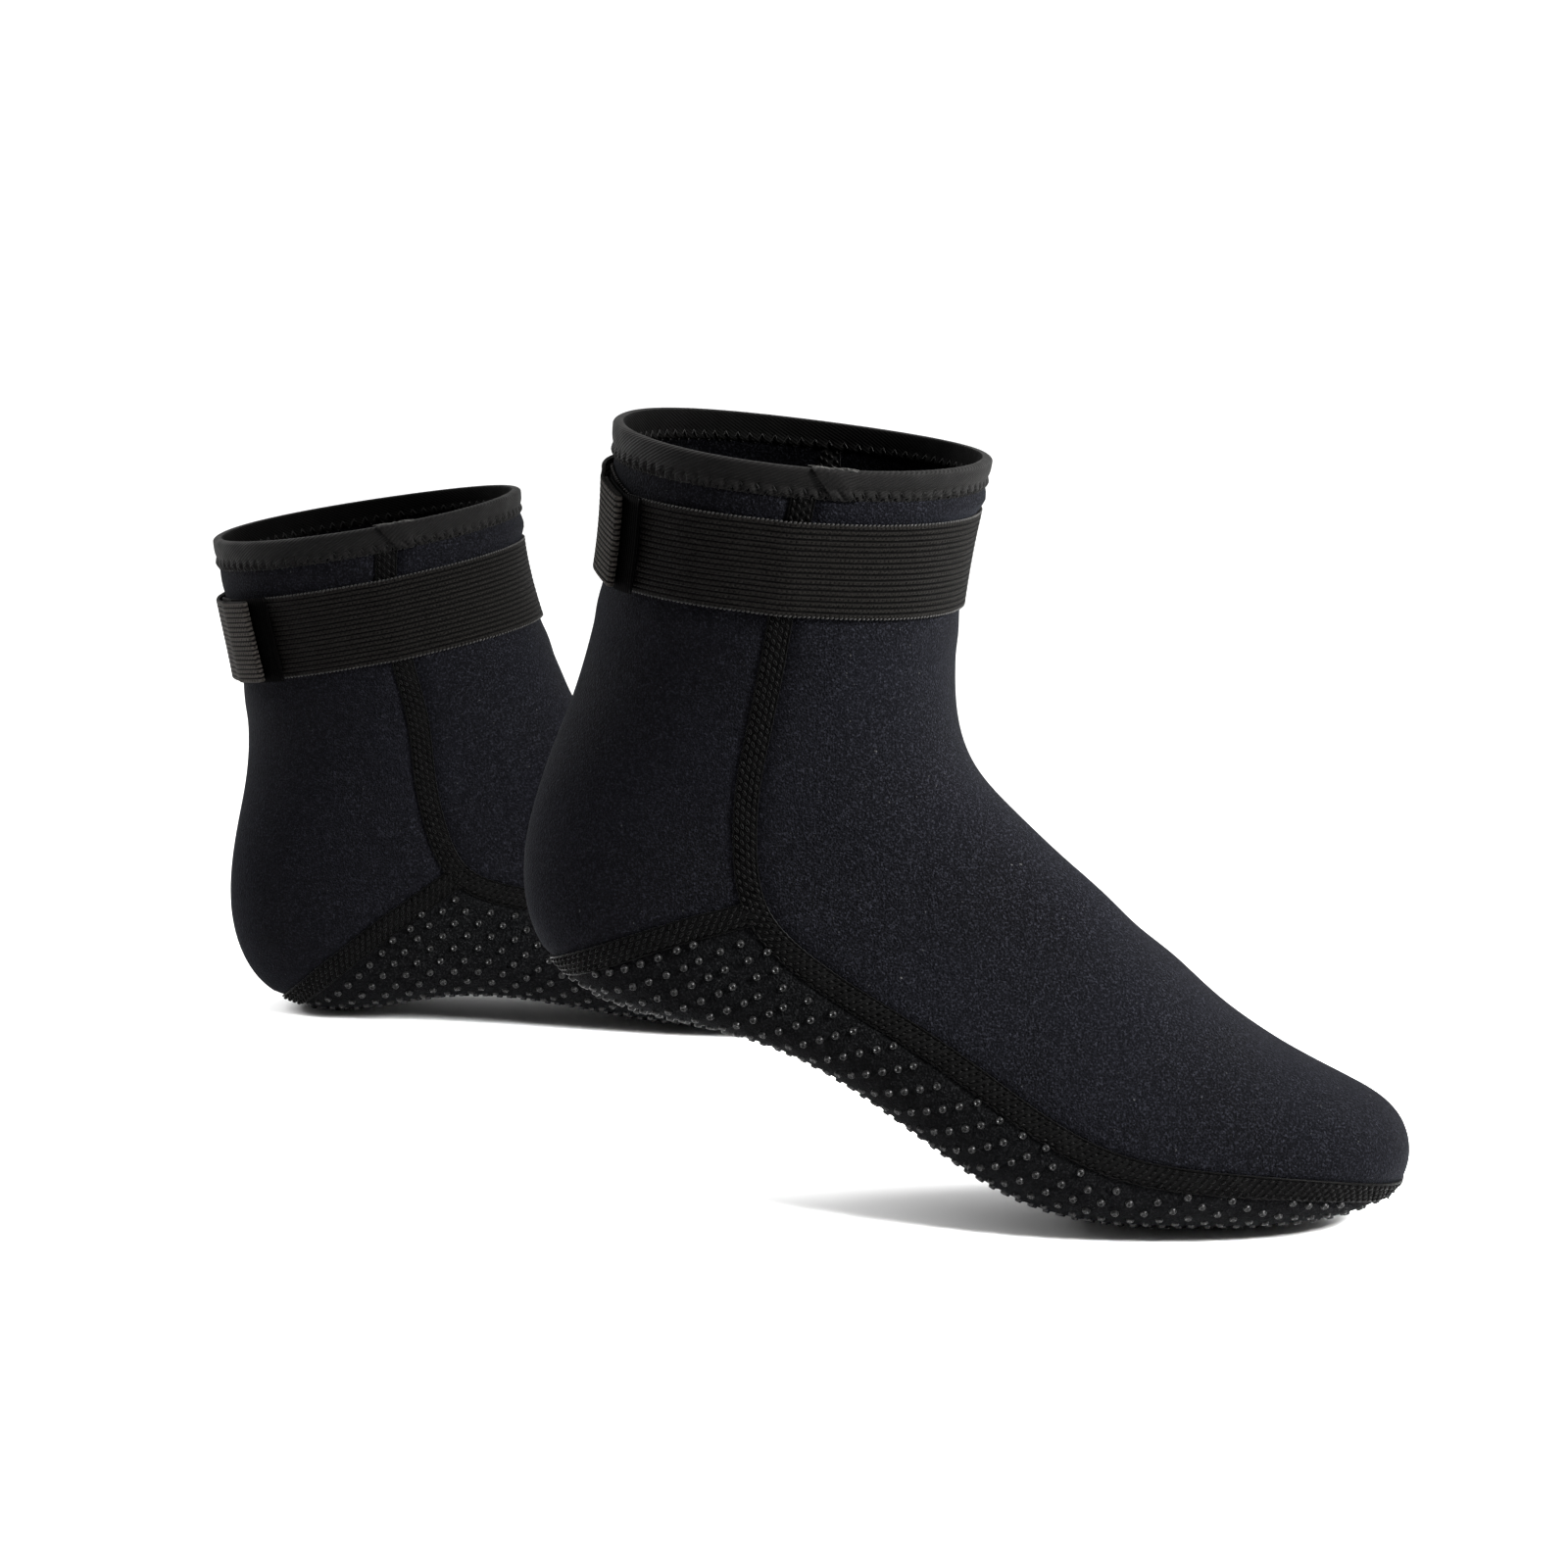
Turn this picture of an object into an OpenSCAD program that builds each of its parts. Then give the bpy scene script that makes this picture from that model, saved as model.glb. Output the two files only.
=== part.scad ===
// A pair of ankle-high neoprene boots with dotted grip soles and an elastic ankle strap.
// Millimetres, +Z up, toes towards +X. The left boot stands flat at the back (+Y). The right
// boot stands in front (-Y) on its forefoot, heel raised, as when taking a step.

/* [Boot] */
// Flat length of a boot's shell, heel to toe tip
boot_len = 279; // [240:1:310]
// Thickness of the neoprene sheet
wall = 3; // [2:0.5:4]
// Thickness of the sheet where the binding squeezes it
rim_wall = 2; // [1.5:0.1:4]
// Width factor of the foot
foot_girth = 1; // [0.9:0.05:1.15]
// Width factor of the shaft
shaft_girth = 1; // [0.9:0.05:1.15]

/* [Right boot pose] */
// Heel raised: the whole boot turned about its ball
right_pitch = 22.5; // [0:0.5:30]
// Toes bent up at the ball
right_toe_bend = 18.5; // [0:0.5:30]
// Toes turned towards -Y
right_turn = 13.5; // [0:0.5:30]

/* [Left boot pose] */
// Heel raised
left_pitch = 0.3; // [0:0.1:30]
// Toes bent up at the ball
left_toe_bend = 4; // [0:0.5:30]
// Toes turned towards -Y
left_turn = 8; // [0:0.5:30]

/* [Strap] */
// Width of the elastic
strap_w = 26.5; // [20:0.5:32]
// Thickness of the elastic
strap_th = 1.2; // [0.8:0.1:2]
// Distance from the opening's edge down to the strap
strap_drop = 14.5; // [14:0.5:24]
// Where the folded end of the right tail lies, degrees round from the front
tail_end = 138; // [128:1:144]
// How far the right strap climbs behind the ankle
strap_climb = 5; // [0:0.5:6]

/* [Grip dots] */
// Distance between neighbouring dots
dot_pitch = 5.6; // [5:0.2:8]
// Diameter of a dot at the fabric
dot_d = 2.2; // [1.6:0.1:3]
// Height of a dot above the fabric
dot_h = 0.8; // [0.5:0.1:1.2]

/* [Seams and binding] */
// Width of a flatlock seam
seam_w = 6.5; // [4:0.5:8]
// Height of a seam above the fabric
seam_h = 0.9; // [0.5:0.1:1.5]
// Height of the binding outside the opening's edge
binding_h = 8; // [5:0.5:11]
// Thickness of the binding tape
binding_th = 0.7; // [0.5:0.1:2]

/* [Hidden] */
RIGHT = 0;
LEFT = 1;

PITCH = [right_pitch, left_pitch];
TOE_BEND = [right_toe_bend, left_toe_bend];
TURN = [right_turn, left_turn];
// Where the ball of each foot stands
PLACE = [[73, -129.5], [-6, 117.5]];
// A boot's outer side lies towards -Y on the right boot and +Y on the left one
OUTER = [-1, 1];
// The strap's tail closes on the -Y side of both boots
NEAR = [1, -1];
STRAP_DROP = [strap_drop, strap_drop + 2];
STRAP_CLIMB = [strap_climb, 0];
TAIL_END = [tail_end, tail_end - 9];

// Side outlines of the two boots, from the opening down the shaft, round the heel and out to
// the toes: front x, z and back (later sole) x, z. The boots are one size. The right one is bent
// at the ankle and its soft shaft is pulled up by a centimetre.
OUTLINES = [
    [
        [82, 182, -19, 152], [85, 160, -9, 127], [92, 132, -4, 103], [100, 113, -1, 79],
        [111, 100.5, -1, 54], [127, 94.5, 0, 32], [145, 88, 11, 3], [163, 83, 40, -5],
        [180, 77.5, 73, 6], [202, 73, 104, 10], [220, 62, 139, 4], [237.5, 51.5, 173, -3],
        [258, 44, 209, 1], [276, 36, 247, 3], [279, 13, 279, 13]
    ],
    [
        [93, 170, -5, 154], [93, 152, -1, 132], [100, 127, 4, 109], [108, 110, 6, 85],
        [113, 98, 1, 59], [127, 91, -4, 34], [144, 86, 5, 4], [162, 80.5, 35, -3],
        [180, 76.5, 70, 8], [202, 71, 102, 7], [220, 62, 137, 1], [237.5, 52, 172, 0],
        [258, 44, 208, 4], [276, 36, 247, 4], [279, 13, 279, 13]
    ]
];
// The same sections across the foot: half width inner, outer, place of the widest point (0 at
// the back, 1 at the front), squareness front, back, seam angle inner, outer
WIDTHS = [
    [49, 49, 0.50, 2.1, 2.1, 71, 76], [48, 48, 0.50, 2.1, 2.1, 75, 78],
    [45, 45, 0.50, 2.1, 2.1, 76, 79], [41, 41, 0.48, 2.1, 2.1, 75, 80],
    [38, 38, 0.45, 2.1, 2.2, 74, 81], [35, 35, 0.42, 2.1, 2.3, 75, 82],
    [35, 35, 0.38, 2.1, 2.4, 77, 82], [35, 35, 0.34, 2.1, 2.7, 73, 79],
    [36, 37, 0.32, 2.1, 2.8, 75, 83], [39, 41, 0.32, 2.1, 2.8, 78, 86],
    [42, 45, 0.33, 2.1, 2.9, 80, 84], [43, 46, 0.35, 2.1, 2.9, 82, 82],
    [40, 42, 0.38, 2.1, 2.7, 84, 84], [30, 31, 0.44, 2.1, 2.4, 84, 84],
    [0, 0, 0.50, 2.0, 2.0, 84, 84]
];
TOE = len(WIDTHS) - 1;
SCALE = boot_len / OUTLINES[RIGHT][TOE].x;
// The side seams end at PEAK, and the heel seam runs from there to HEEL at the back
PEAK = 5.95;
HEEL = 6.45;
HEEL_CURVE = 2.2;
// The toes bend between these lengths, about a fibre this high above the ground
BALL = 170;
BEND_FROM = 150;
BEND_TO = 225;
BEND_STEP = 3;
BEND_Z = 8;
// The opening's edge dips at the sides
RIM_DIP = [1.5, 0.5];
RIM_DIP_DEPTH = 1.2;

// ---- Shell surface: t runs from 0 at the opening to TOE, a is 0 at the front, 90 outside ----

function unit(v) = v / norm(v);
function girth(i) = lookup(i, [[3, shaft_girth], [6, foot_girth]]);
function station(b, i) =
    let (w = WIDTHS[i], g = girth(i))
    concat(SCALE * OUTLINES[b][i], [w[0] * g, w[1] * g, w[2], w[3], w[4], w[5], w[6]]);
// The section past the toe tip is the last one turned over, which rounds the tip
function turned_over(s) =
    [s[2], s[3], s[0], s[1], -s[4], -s[5], 1 - s[6], s[8], s[7], s[9], s[10]];
function with_ends(rows) =
    concat([2 * rows[0] - rows[1]], rows, [turned_over(rows[TOE - 1])]);
SECTIONS = [for (b = [RIGHT, LEFT]) with_ends([for (i = [0:TOE]) station(b, i)])];

// Uniform cubic B-spline through the sections
function section(b, t) =
    let (
        i = min(floor(t), TOE - 1), u = t - i, s = SECTIONS[b],
        w0 = pow(1 - u, 3), w1 = 3 * pow(u, 3) - 6 * u * u + 4,
        w2 = -3 * pow(u, 3) + 3 * u * u + 3 * u + 1, w3 = pow(u, 3)
    )
    (w0 * s[i] + w1 * s[i + 1] + w2 * s[i + 2] + w3 * s[i + 3]) / 6;

// A point of one boot standing flat, its heel at x = 0
function flat_boot(b, t, a) =
    let (
        r = section(b, t), c = cos(a), s = sin(a), e = 2 / (c >= 0 ? r[7] : r[8]),
        front = [r[0], r[1]], back = [r[2], r[3]], mid = back + (front - back) * r[6],
        xz = mid + ((c >= 0 ? front : back) - mid) * pow(abs(c), e),
        y = (s >= 0 ? r[5] : -r[4]) * pow(abs(s), e),
        dip = RIM_DIP[b] * s * s * pow(max(0, 1 - t / RIM_DIP_DEPTH), 1.5)
    )
    [xz.x, y, xz.y - dip];

// How far the toes are turned up at a length; the bend eases in and out
function bend_angle(b, x) =
    let (u = max(0, min(1, (x - BEND_FROM) / (BEND_TO - BEND_FROM))))
    TOE_BEND[b] * u * u * (3 - 2 * u);
function bend_step(b, x) =
    let (a = bend_angle(b, x + BEND_STEP / 2))
    BEND_STEP * [cos(a), sin(a)];
// The bent fibre: x and z at each length
BENT = [for (b = [RIGHT, LEFT]) [
    for (
        x = BEND_FROM, p = [BEND_FROM, BEND_Z];
        x <= BEND_TO;
        p = p + bend_step(b, x), x = x + BEND_STEP
    )
    [x, p]
]];
BENT_X = [for (line = BENT) [for (q = line) [q[0], q[1].x]]];
BENT_Z = [for (line = BENT) [for (q = line) [q[0], q[1].y]]];
function toes_bent(b, p) =
    let (a = bend_angle(b, p.x), up = p.z - BEND_Z, past = max(0, p.x - BEND_TO))
    p.x <= BEND_FROM ? p : [
        lookup(p.x, BENT_X[b]) - up * sin(a) + past * cos(a), p.y,
        lookup(p.x, BENT_Z[b]) + up * cos(a) + past * sin(a)
    ];

function pitched(b, p) =
    let (q = toes_bent(b, p), x = q.x - BALL, a = PITCH[b])
    [x * cos(a) + q.z * sin(a), OUTER[b] * q.y, q.z * cos(a) - x * sin(a)];
function turned(b, p) =
    let (a = TURN[b])
    [PLACE[b].x + p.x * cos(a) + p.y * sin(a), PLACE[b].y + p.y * cos(a) - p.x * sin(a), p.z];

LOWEST = [for (b = [RIGHT, LEFT])
    min([for (t = [6:0.25:TOE], a = [130:10:230]) pitched(b, flat_boot(b, t, a)).z])
];
function shell_at(b, t, a) =
    turned(b, pitched(b, flat_boot(b, t, a)) + [0, 0, dot_h - LOWEST[b]]);

// Outward direction; at the toe tip it points along the boot
function normal(b, t, a) =
    t > TOE - 0.02
    ? unit(shell_at(b, TOE, 0) - (shell_at(b, TOE - 1, 0) + shell_at(b, TOE - 1, 180)) / 2)
    : let (u = max(t, 0.02), along = shell_at(b, u + 0.02, a) - shell_at(b, u - 0.02, a))
      unit(OUTER[b] * cross(along, shell_at(b, t, a + 0.5) - shell_at(b, t, a - 0.5)));

// A point h outside the shell; a negative t carries on above the opening
function skin(b, t, a, h) =
    let (u = max(t, 0), p = shell_at(b, u, a) + h * normal(b, u, a))
    t >= 0 ? p : p - 10 * t * (shell_at(b, 0, a) - shell_at(b, 0.1, a));

// The millimetres down the shaft from the opening's edge, against t; above the edge the first
// step carries on
DOWN_STEP = 0.1;
DOWN_ROWS = 30;
ABOVE = 10;
function sums(list) = [
    for (i = 0, total = 0; i < len(list); total = total + list[i], i = i + 1) total + list[i]
];
function down_table(b) =
    let (
        p = [for (k = [0:DOWN_ROWS]) shell_at(b, k * DOWN_STEP, 90)],
        run = concat([0], sums([for (k = [1:DOWN_ROWS]) norm(p[k] - p[k - 1])]))
    )
    concat([[-ABOVE, -ABOVE * DOWN_STEP / run[1]]], [for (k = [0:DOWN_ROWS]) [run[k], k * DOWN_STEP]]);
DOWN_TABLES = [for (b = [RIGHT, LEFT]) down_table(b)];
function down(b, mm) = lookup(mm, DOWN_TABLES[b]);

// Thickness of the sheet, full from a little below the binding
SQUEEZE = 12;
function wall_at(b, t) = lookup(t, [[0, rim_wall], [down(b, SQUEEZE), wall]]);

// ---- Seam lines ----

// Near the opening the right boot's inner seam is pulled back
SEAM_PULL = [22, 0];
SEAM_PULL_TO = 3;
function inner_seam(b, t) = section(b, t)[9] + SEAM_PULL[b] * max(0, 1 - t / SEAM_PULL_TO);
function outer_seam(b, t) = section(b, t)[10];
// s runs from -1 at the inner seam to 1 at the outer seam, over the front or over the back
function front_angle(b, t, s) = s >= 0 ? s * outer_seam(b, t) : s * inner_seam(b, t);
function back_angle(b, t, s) =
    s >= 0 ? 180 - s * (180 - outer_seam(b, t)) : 180 - s * (180 - inner_seam(b, t));
function heel_t(s) = HEEL - (HEEL - PEAK) * pow(abs(s), HEEL_CURVE);

// ---- Solids from grids of points ----

function distinct(p, f) = p[f[0]] != p[f[1]] && p[f[1]] != p[f[2]] && p[f[2]] != p[f[0]];
function quad(a, b, c, d) = [[a, b, c], [a, c, d]];

// A sheet between two grids of points
module sheet(outer, inner, flip) {
    rows = len(outer);
    cols = len(outer[0]);
    points = concat([for (r = outer) each r], [for (r = inner) each r]);
    back = rows * cols;
    faces = concat(
        [for (i = [0:rows - 2], j = [0:cols - 2]) let (k = i * cols + j) each concat(
            quad(k, k + 1, k + cols + 1, k + cols),
            quad(back + k, back + k + cols, back + k + cols + 1, back + k + 1)
        )],
        [for (i = [0:rows - 2], j = [0, cols - 1]) let (
            a = i * cols + j, c = a + cols, q = quad(a, c, back + c, back + a)
        ) each (j == 0 ? q : reversed(q))],
        [for (j = [0:cols - 2], i = [0, rows - 1]) let (
            a = i * cols + j, q = quad(a + 1, a, back + a, back + a + 1)
        ) each (i == 0 ? q : reversed(q))]
    );
    kept = [for (f = faces) if (distinct(points, f)) f];
    polyhedron(points = points, faces = flip ? reversed(kept) : kept);
}
function reversed(faces) = [for (f = faces) [f[0], f[2], f[1]]];

// A solid swept through rows of closed outlines, open with capped ends or closed on itself
module sweep(rows, closed, flip) {
    n = len(rows);
    m = len(rows[0]);
    points = [for (r = rows) each r];
    sides = [for (i = [0:closed ? n - 1 : n - 2], j = [0:m - 1]) let (
        k = (i + 1) % n, l = (j + 1) % m
    ) each quad(i * m + j, i * m + l, k * m + l, k * m + j)];
    caps = closed ? [] : [for (j = [1:m - 2]) each [
        [0, j + 1, j], [(n - 1) * m, (n - 1) * m + j, (n - 1) * m + j + 1]
    ]];
    faces = concat(sides, caps);
    polyhedron(points = points, faces = flip ? reversed(faces) : faces);
}

// A round pin from p to q
module pin(p, q, d1, d2) {
    v = q - p;
    translate(p)
        rotate([0, acos(v.z / norm(v)), atan2(v.y, v.x)])
            cylinder(h = norm(v), d1 = d1, d2 = d2, $fn = 24);
}

// ---- Grids ----

SIDE_COLS = 9;
SHAFT_ROWS = 9;
FOOT_ROWS = 18;
function across(n) = [for (k = [-n:n]) k / n];
function steps(n) = [for (k = [0:n]) k / n];
// Rows of the foot, closer together at the toe tip
function to_toe(from) = [for (k = steps(FOOT_ROWS)) from + (TOE - from) * (1 - pow(1 - k, 1.5))];

// Positions [t, a] of the three panels' grids; neighbours share their edge points
function front_grid(b) = [
    for (t = concat(PEAK * steps(SHAFT_ROWS), [for (i = [1:FOOT_ROWS]) to_toe(PEAK)[i]]))
        [for (s = across(SIDE_COLS)) [t, front_angle(b, t, s)]]
];
function heel_grid(b) = [
    for (r = steps(SHAFT_ROWS))
        [for (s = across(SIDE_COLS)) let (t = r * heel_t(s)) [t, back_angle(b, t, s)]]
];
function sole_grid(b) = [
    for (i = [0:FOOT_ROWS])
        [for (s = across(SIDE_COLS)) let (t = to_toe(heel_t(s))[i]) [t, back_angle(b, t, s)]]
];
function outer_face(b, grid) = [for (row = grid) [for (q = row) skin(b, q[0], q[1], 0)]];
function inner_face(b, grid) = [for (row = grid) [for (q = row) skin(b, q[0], q[1], -wall_at(b, q[0]))]];

module panel(b, grid, turned) {
    sheet(outer_face(b, grid), inner_face(b, grid), flip = (b == RIGHT) != turned);
}

// ---- Panels ----

module front_panel(b) {
    color("#202125") panel(b, front_grid(b), false);
}
module heel_panel(b) {
    color("#202125") panel(b, heel_grid(b), true);
}
module sole_panel(b) {
    color("#1a1a1b") panel(b, sole_grid(b), true);
}

// ---- Binding round the opening ----

RING_STEP = 7.5;
// Its ends lap at this angle
LAP = 68;
LAP_HALF = 5;
LAP_RISE = 0.6;
BINDING_IN = 7;
LOW_WALL = lookup(BINDING_IN, [[0, rim_wall], [SQUEEZE, wall]]);
function lap(b, a) = LAP_RISE * max(0, 1 - pow((a - NEAR[b] * LAP) / LAP_HALF, 2));
// Section of the tape: distance down from the edge, distance out from the shell's outer face
BINDING = [
    [binding_h, -0.2], [binding_h - 0.3, binding_th * 0.8], [binding_h - 2, binding_th],
    [0.5, binding_th], [-binding_th * 0.8, 0], [-binding_th, -rim_wall / 2],
    [-binding_th * 0.8, -rim_wall], [0.5, -rim_wall - binding_th],
    [BINDING_IN - 1, -LOW_WALL - binding_th], [BINDING_IN, -LOW_WALL + 0.2],
    [BINDING_IN - 1, -LOW_WALL + 0.4], [0.6, -rim_wall + 0.4], [0.6, -0.4], [binding_h - 1, -0.4]
];
module top_binding(b) {
    angles = [for (a = [-180:RING_STEP:179]) if (abs(a - NEAR[b] * LAP) > LAP_HALF) a];
    laps = [for (k = [-1:0.5:1]) NEAR[b] * LAP + k * LAP_HALF];
    before = [for (a = angles) if (a < NEAR[b] * LAP) a];
    after = [for (a = angles) if (a > NEAR[b] * LAP) a];
    rows = [for (a = concat(before, laps, after)) [
        for (q = BINDING) skin(b, down(b, q[0]), a, q[1] + (q[1] > 0 ? lap(b, a) : 0))
    ]];
    color("#22211f") sweep(rows, closed = true, flip = b == RIGHT);
}

STITCH_PITCH = 4;
STITCH_LEN = 2.6;
STITCH_D = 0.8;
STITCH_DOWN = 5.6;
module binding_stitching(b) {
    radius = norm(shell_at(b, 0, 90) - shell_at(b, 0, -90)) / 2;
    count = round(2 * PI * radius / STITCH_PITCH);
    color("#1b1b1b")
        for (i = [0:count - 1]) {
            a = 360 * i / count;
            high = skin(b, down(b, STITCH_DOWN - STITCH_LEN / 2), a, binding_th);
            low = skin(b, down(b, STITCH_DOWN + STITCH_LEN / 2), a, binding_th);
            pin(high, low, STITCH_D, STITCH_D);
        }
}

// ---- Flatlock seams ----

SEAM_SINK = 0.4;
// Rows across a raised band along a line of [t, a] positions
function band(b, line, closed) =
    let (n = len(line), p = [for (q = line) skin(b, q[0], q[1], 0)])
    [for (i = [0:n - 1]) let (
        before = closed ? p[(i + n - 1) % n] : p[max(0, i - 1)],
        after = closed ? p[(i + 1) % n] : p[min(n - 1, i + 1)],
        up = normal(b, line[i][0], line[i][1]),
        out = unit(cross(up, after - before)) * seam_w / 2
    ) [
        p[i] - out - up * SEAM_SINK, p[i] - 0.9 * out + up * seam_h * 0.6,
        p[i] - 0.4 * out + up * seam_h, p[i] + 0.4 * out + up * seam_h,
        p[i] + 0.9 * out + up * seam_h * 0.6, p[i] + out - up * SEAM_SINK
    ]];

SEAM_ROWS = 16;
module side_seam(b, s) {
    top = down(b, binding_h - 1);
    line = [for (k = steps(SEAM_ROWS)) let (t = top + (PEAK - top) * k) [t, front_angle(b, t, s)]];
    color("#131313") sweep(band(b, line, false), closed = false, flip = false);
}
module lateral_seam(b) {
    side_seam(b, 1);
}
module medial_seam(b) {
    side_seam(b, -1);
}

// One closed line: round the heel, along the outer side to the toe tip and back inside
module sole_seam(b) {
    heel = [for (k = [-10:9]) let (t = heel_t(k / 10)) [t, back_angle(b, t, k / 10)]];
    outside = [for (i = [0:FOOT_ROWS - 1]) let (t = to_toe(PEAK)[i]) [t, outer_seam(b, t)]];
    tip = [[TOE, 0]];
    inside = [for (i = [FOOT_ROWS - 1:-1:1]) let (t = to_toe(PEAK)[i]) [t, -inner_seam(b, t)]];
    line = concat(heel, outside, tip, inside);
    color("#131313") sweep(band(b, line, true), closed = true, flip = false);
}

// ---- Ankle strap ----

STRAP_GAP = 0.2;
// The fixed elastic runs from STRAP_END, past the front, to STRAP_START under the tail
STRAP_END = -160;
STRAP_START = 160;
TAIL_ROOT = 199;
TAIL_GAP = 0.5;
LOOP_TH = 0.5;
HOOK_GAP = 0.4;
HOOK_TH = 0.9;
FOLD = 14;
STRAP_OUT = STRAP_GAP + strap_th;
LOOP_OUT = STRAP_OUT + LOOP_TH;
HOOK_IN = LOOP_OUT + HOOK_GAP;
TAIL_IN = HOOK_IN + HOOK_TH;
function climb(b, a) =
    STRAP_CLIMB[b] * lookup(a, [[STRAP_END, 1], [STRAP_END + 35, 0], [tail_end, 0], [STRAP_START, 1]]);
// A point on the strap's height scale: r is 0 at the top edge and 1 at the bottom one
function on_strap(b, a, r, inset, h) =
    let (mm = STRAP_DROP[b] - climb(b, a) + inset + (strap_w - 2 * inset) * r)
    skin(b, down(b, mm), NEAR[b] * a, h);
// A piece of tape round the shaft between two angles; inside and outside are functions of the
// angle, and inset takes a little off both edges
module tape(b, from, to, inset, inside, outside) {
    n = ceil(abs(to - from) / 6);
    angles = [for (k = steps(n)) from + (to - from) * k];
    outer = [for (r = steps(4)) [for (a = angles) on_strap(b, a, r, inset, outside(a))]];
    inner = [for (r = steps(4)) [for (a = angles) on_strap(b, a, r, inset, inside(a))]];
    sheet(outer, inner, flip = true);
}
module ankle_strap(b) {
    color("#2a2927")
        tape(b, STRAP_END, STRAP_START, 0, function(a) STRAP_GAP, function(a) STRAP_OUT);
}
// The loop patch starts under the hook patch and ends under the tail
LOOP_INSET = 2;
module loop_patch(b) {
    color("#242424")
        tape(
            b, TAIL_END[b] - 8, STRAP_START - 2, LOOP_INSET,
            function(a) STRAP_OUT, function(a) LOOP_OUT
        );
}
module hook_patch(b) {
    color("#050505")
        tape(
            b, TAIL_END[b] - 9, TAIL_END[b] + 12, -0.5,
            function(a) HOOK_IN, function(a) TAIL_IN
        );
}
// The tail leaves the strap's end, passes behind the ankle and lies on its own hook patch; its
// end is folded back on itself
function tail_inside(b, a) = lookup(a, [[TAIL_END[b] + 14, TAIL_IN], [TAIL_ROOT, TAIL_GAP]]);
function tail_layers(b, a) = lookup(a - TAIL_END[b], [[0, 1.6], [2, 2], [FOLD, 2], [FOLD + 3, 1]]);
function tail_outside(b, a) = tail_inside(b, a) + strap_th * tail_layers(b, a);
module strap_tail(b) {
    color("#33302e")
        tape(
            b, TAIL_END[b], TAIL_ROOT, 0,
            function(a) tail_inside(b, a), function(a) tail_outside(b, a)
        );
}

ANCHOR_ANGLES = [-154, 154];
ANCHOR_STITCHES = 6;
module strap_stitching(b) {
    half = STITCH_LEN / strap_w / 2;
    color("#1b1b1b")
        for (a = ANCHOR_ANGLES, k = [1:ANCHOR_STITCHES]) {
            r = (k - 0.5) / ANCHOR_STITCHES;
            high = on_strap(b, a, r - half, 0, STRAP_OUT);
            low = on_strap(b, a, r + half, 0, STRAP_OUT);
            pin(high, low, STITCH_D, STITCH_D);
        }
}

// ---- Grip dots: a square lattice at 45 degrees, laid on the sole's flat length and girth ----

GIRTH_COLS = 12;
LENGTH_ROWS = 40;
DOT_TOP = 0.6;
DOT_SINK = 0.3;
ROW_STEP = dot_pitch / sqrt(2);
EDGE_ROOM = seam_w / 2 + dot_d / 2;
function sole_point(b, t, s) = flat_boot(b, t, back_angle(b, t, s));
HEEL_LINES = [for (b = [RIGHT, LEFT]) [
    for (s = across(2 * GIRTH_COLS)) sole_point(b, heel_t(s), s)
]];
function clear_of_heel(b, p) = min([for (q = HEEL_LINES[b]) norm(q - p)]) > EDGE_ROOM;
// For each position across the sole, t against length along the boot
function length_tables(b) = [for (s = across(GIRTH_COLS)) [
    for (r = steps(LENGTH_ROWS)) let (t = heel_t(s) + (TOE - heel_t(s)) * r)
        [sole_point(b, t, s).x, t]
]];
// Positions [t, s] of the dots in the row at length x
function dot_row(b, tables, x, shift) =
    let (
        s_list = across(GIRTH_COLS),
        t_list = [for (k = [0:len(s_list) - 1]) lookup(x, tables[k])],
        p = [for (k = [0:len(s_list) - 1]) sole_point(b, t_list[k], s_list[k])],
        run = concat([0], sums([for (k = [1:len(p) - 1]) norm(p[k] - p[k - 1])])),
        centre = run[GIRTH_COLS],
        s_at = [for (k = [0:len(p) - 1]) [run[k] - centre, s_list[k]]],
        t_at = [for (k = [0:len(p) - 1]) [s_list[k], t_list[k]]],
        last = floor((run[len(p) - 1] - EDGE_ROOM) / (2 * ROW_STEP))
    )
    [for (j = [-last:last])
        let (g = 2 * ROW_STEP * (j + shift), s = lookup(g, s_at), t = lookup(s, t_at))
        if (g > -centre + EDGE_ROOM && g < run[len(p) - 1] - centre - EDGE_ROOM
            && x > sole_point(b, heel_t(s), s).x && clear_of_heel(b, sole_point(b, t, s)))
            [t, back_angle(b, t, s)]
    ];
function dots(b) =
    let (tables = length_tables(b), rows = floor(boot_len / ROW_STEP))
    [for (i = [1:rows]) each dot_row(b, tables, i * ROW_STEP, i % 2 == 0 ? 0 : 0.5)];

// Dots that reach the ground are flat on it; the others stand out along the surface
TREAD_TOP = 2 * dot_h;
function touches(b, q) = shell_at(b, q[0], q[1]).z < TREAD_TOP;

module tread_dots(b) {
    color("#3c3c3d")
        for (q = dots(b))
            if (touches(b, q)) {
                p = shell_at(b, q[0], q[1]);
                translate([p.x, p.y, 0]) cylinder(h = p.z + DOT_SINK, d = dot_d, $fn = 24);
            }
}
module grip_dots(b) {
    color("#3c3c3d")
        for (q = dots(b))
            if (!touches(b, q)) {
                base = skin(b, q[0], q[1], -DOT_SINK);
                top = skin(b, q[0], q[1], dot_h);
                pin(base, top, dot_d, dot_d * DOT_TOP);
            }
}

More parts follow.
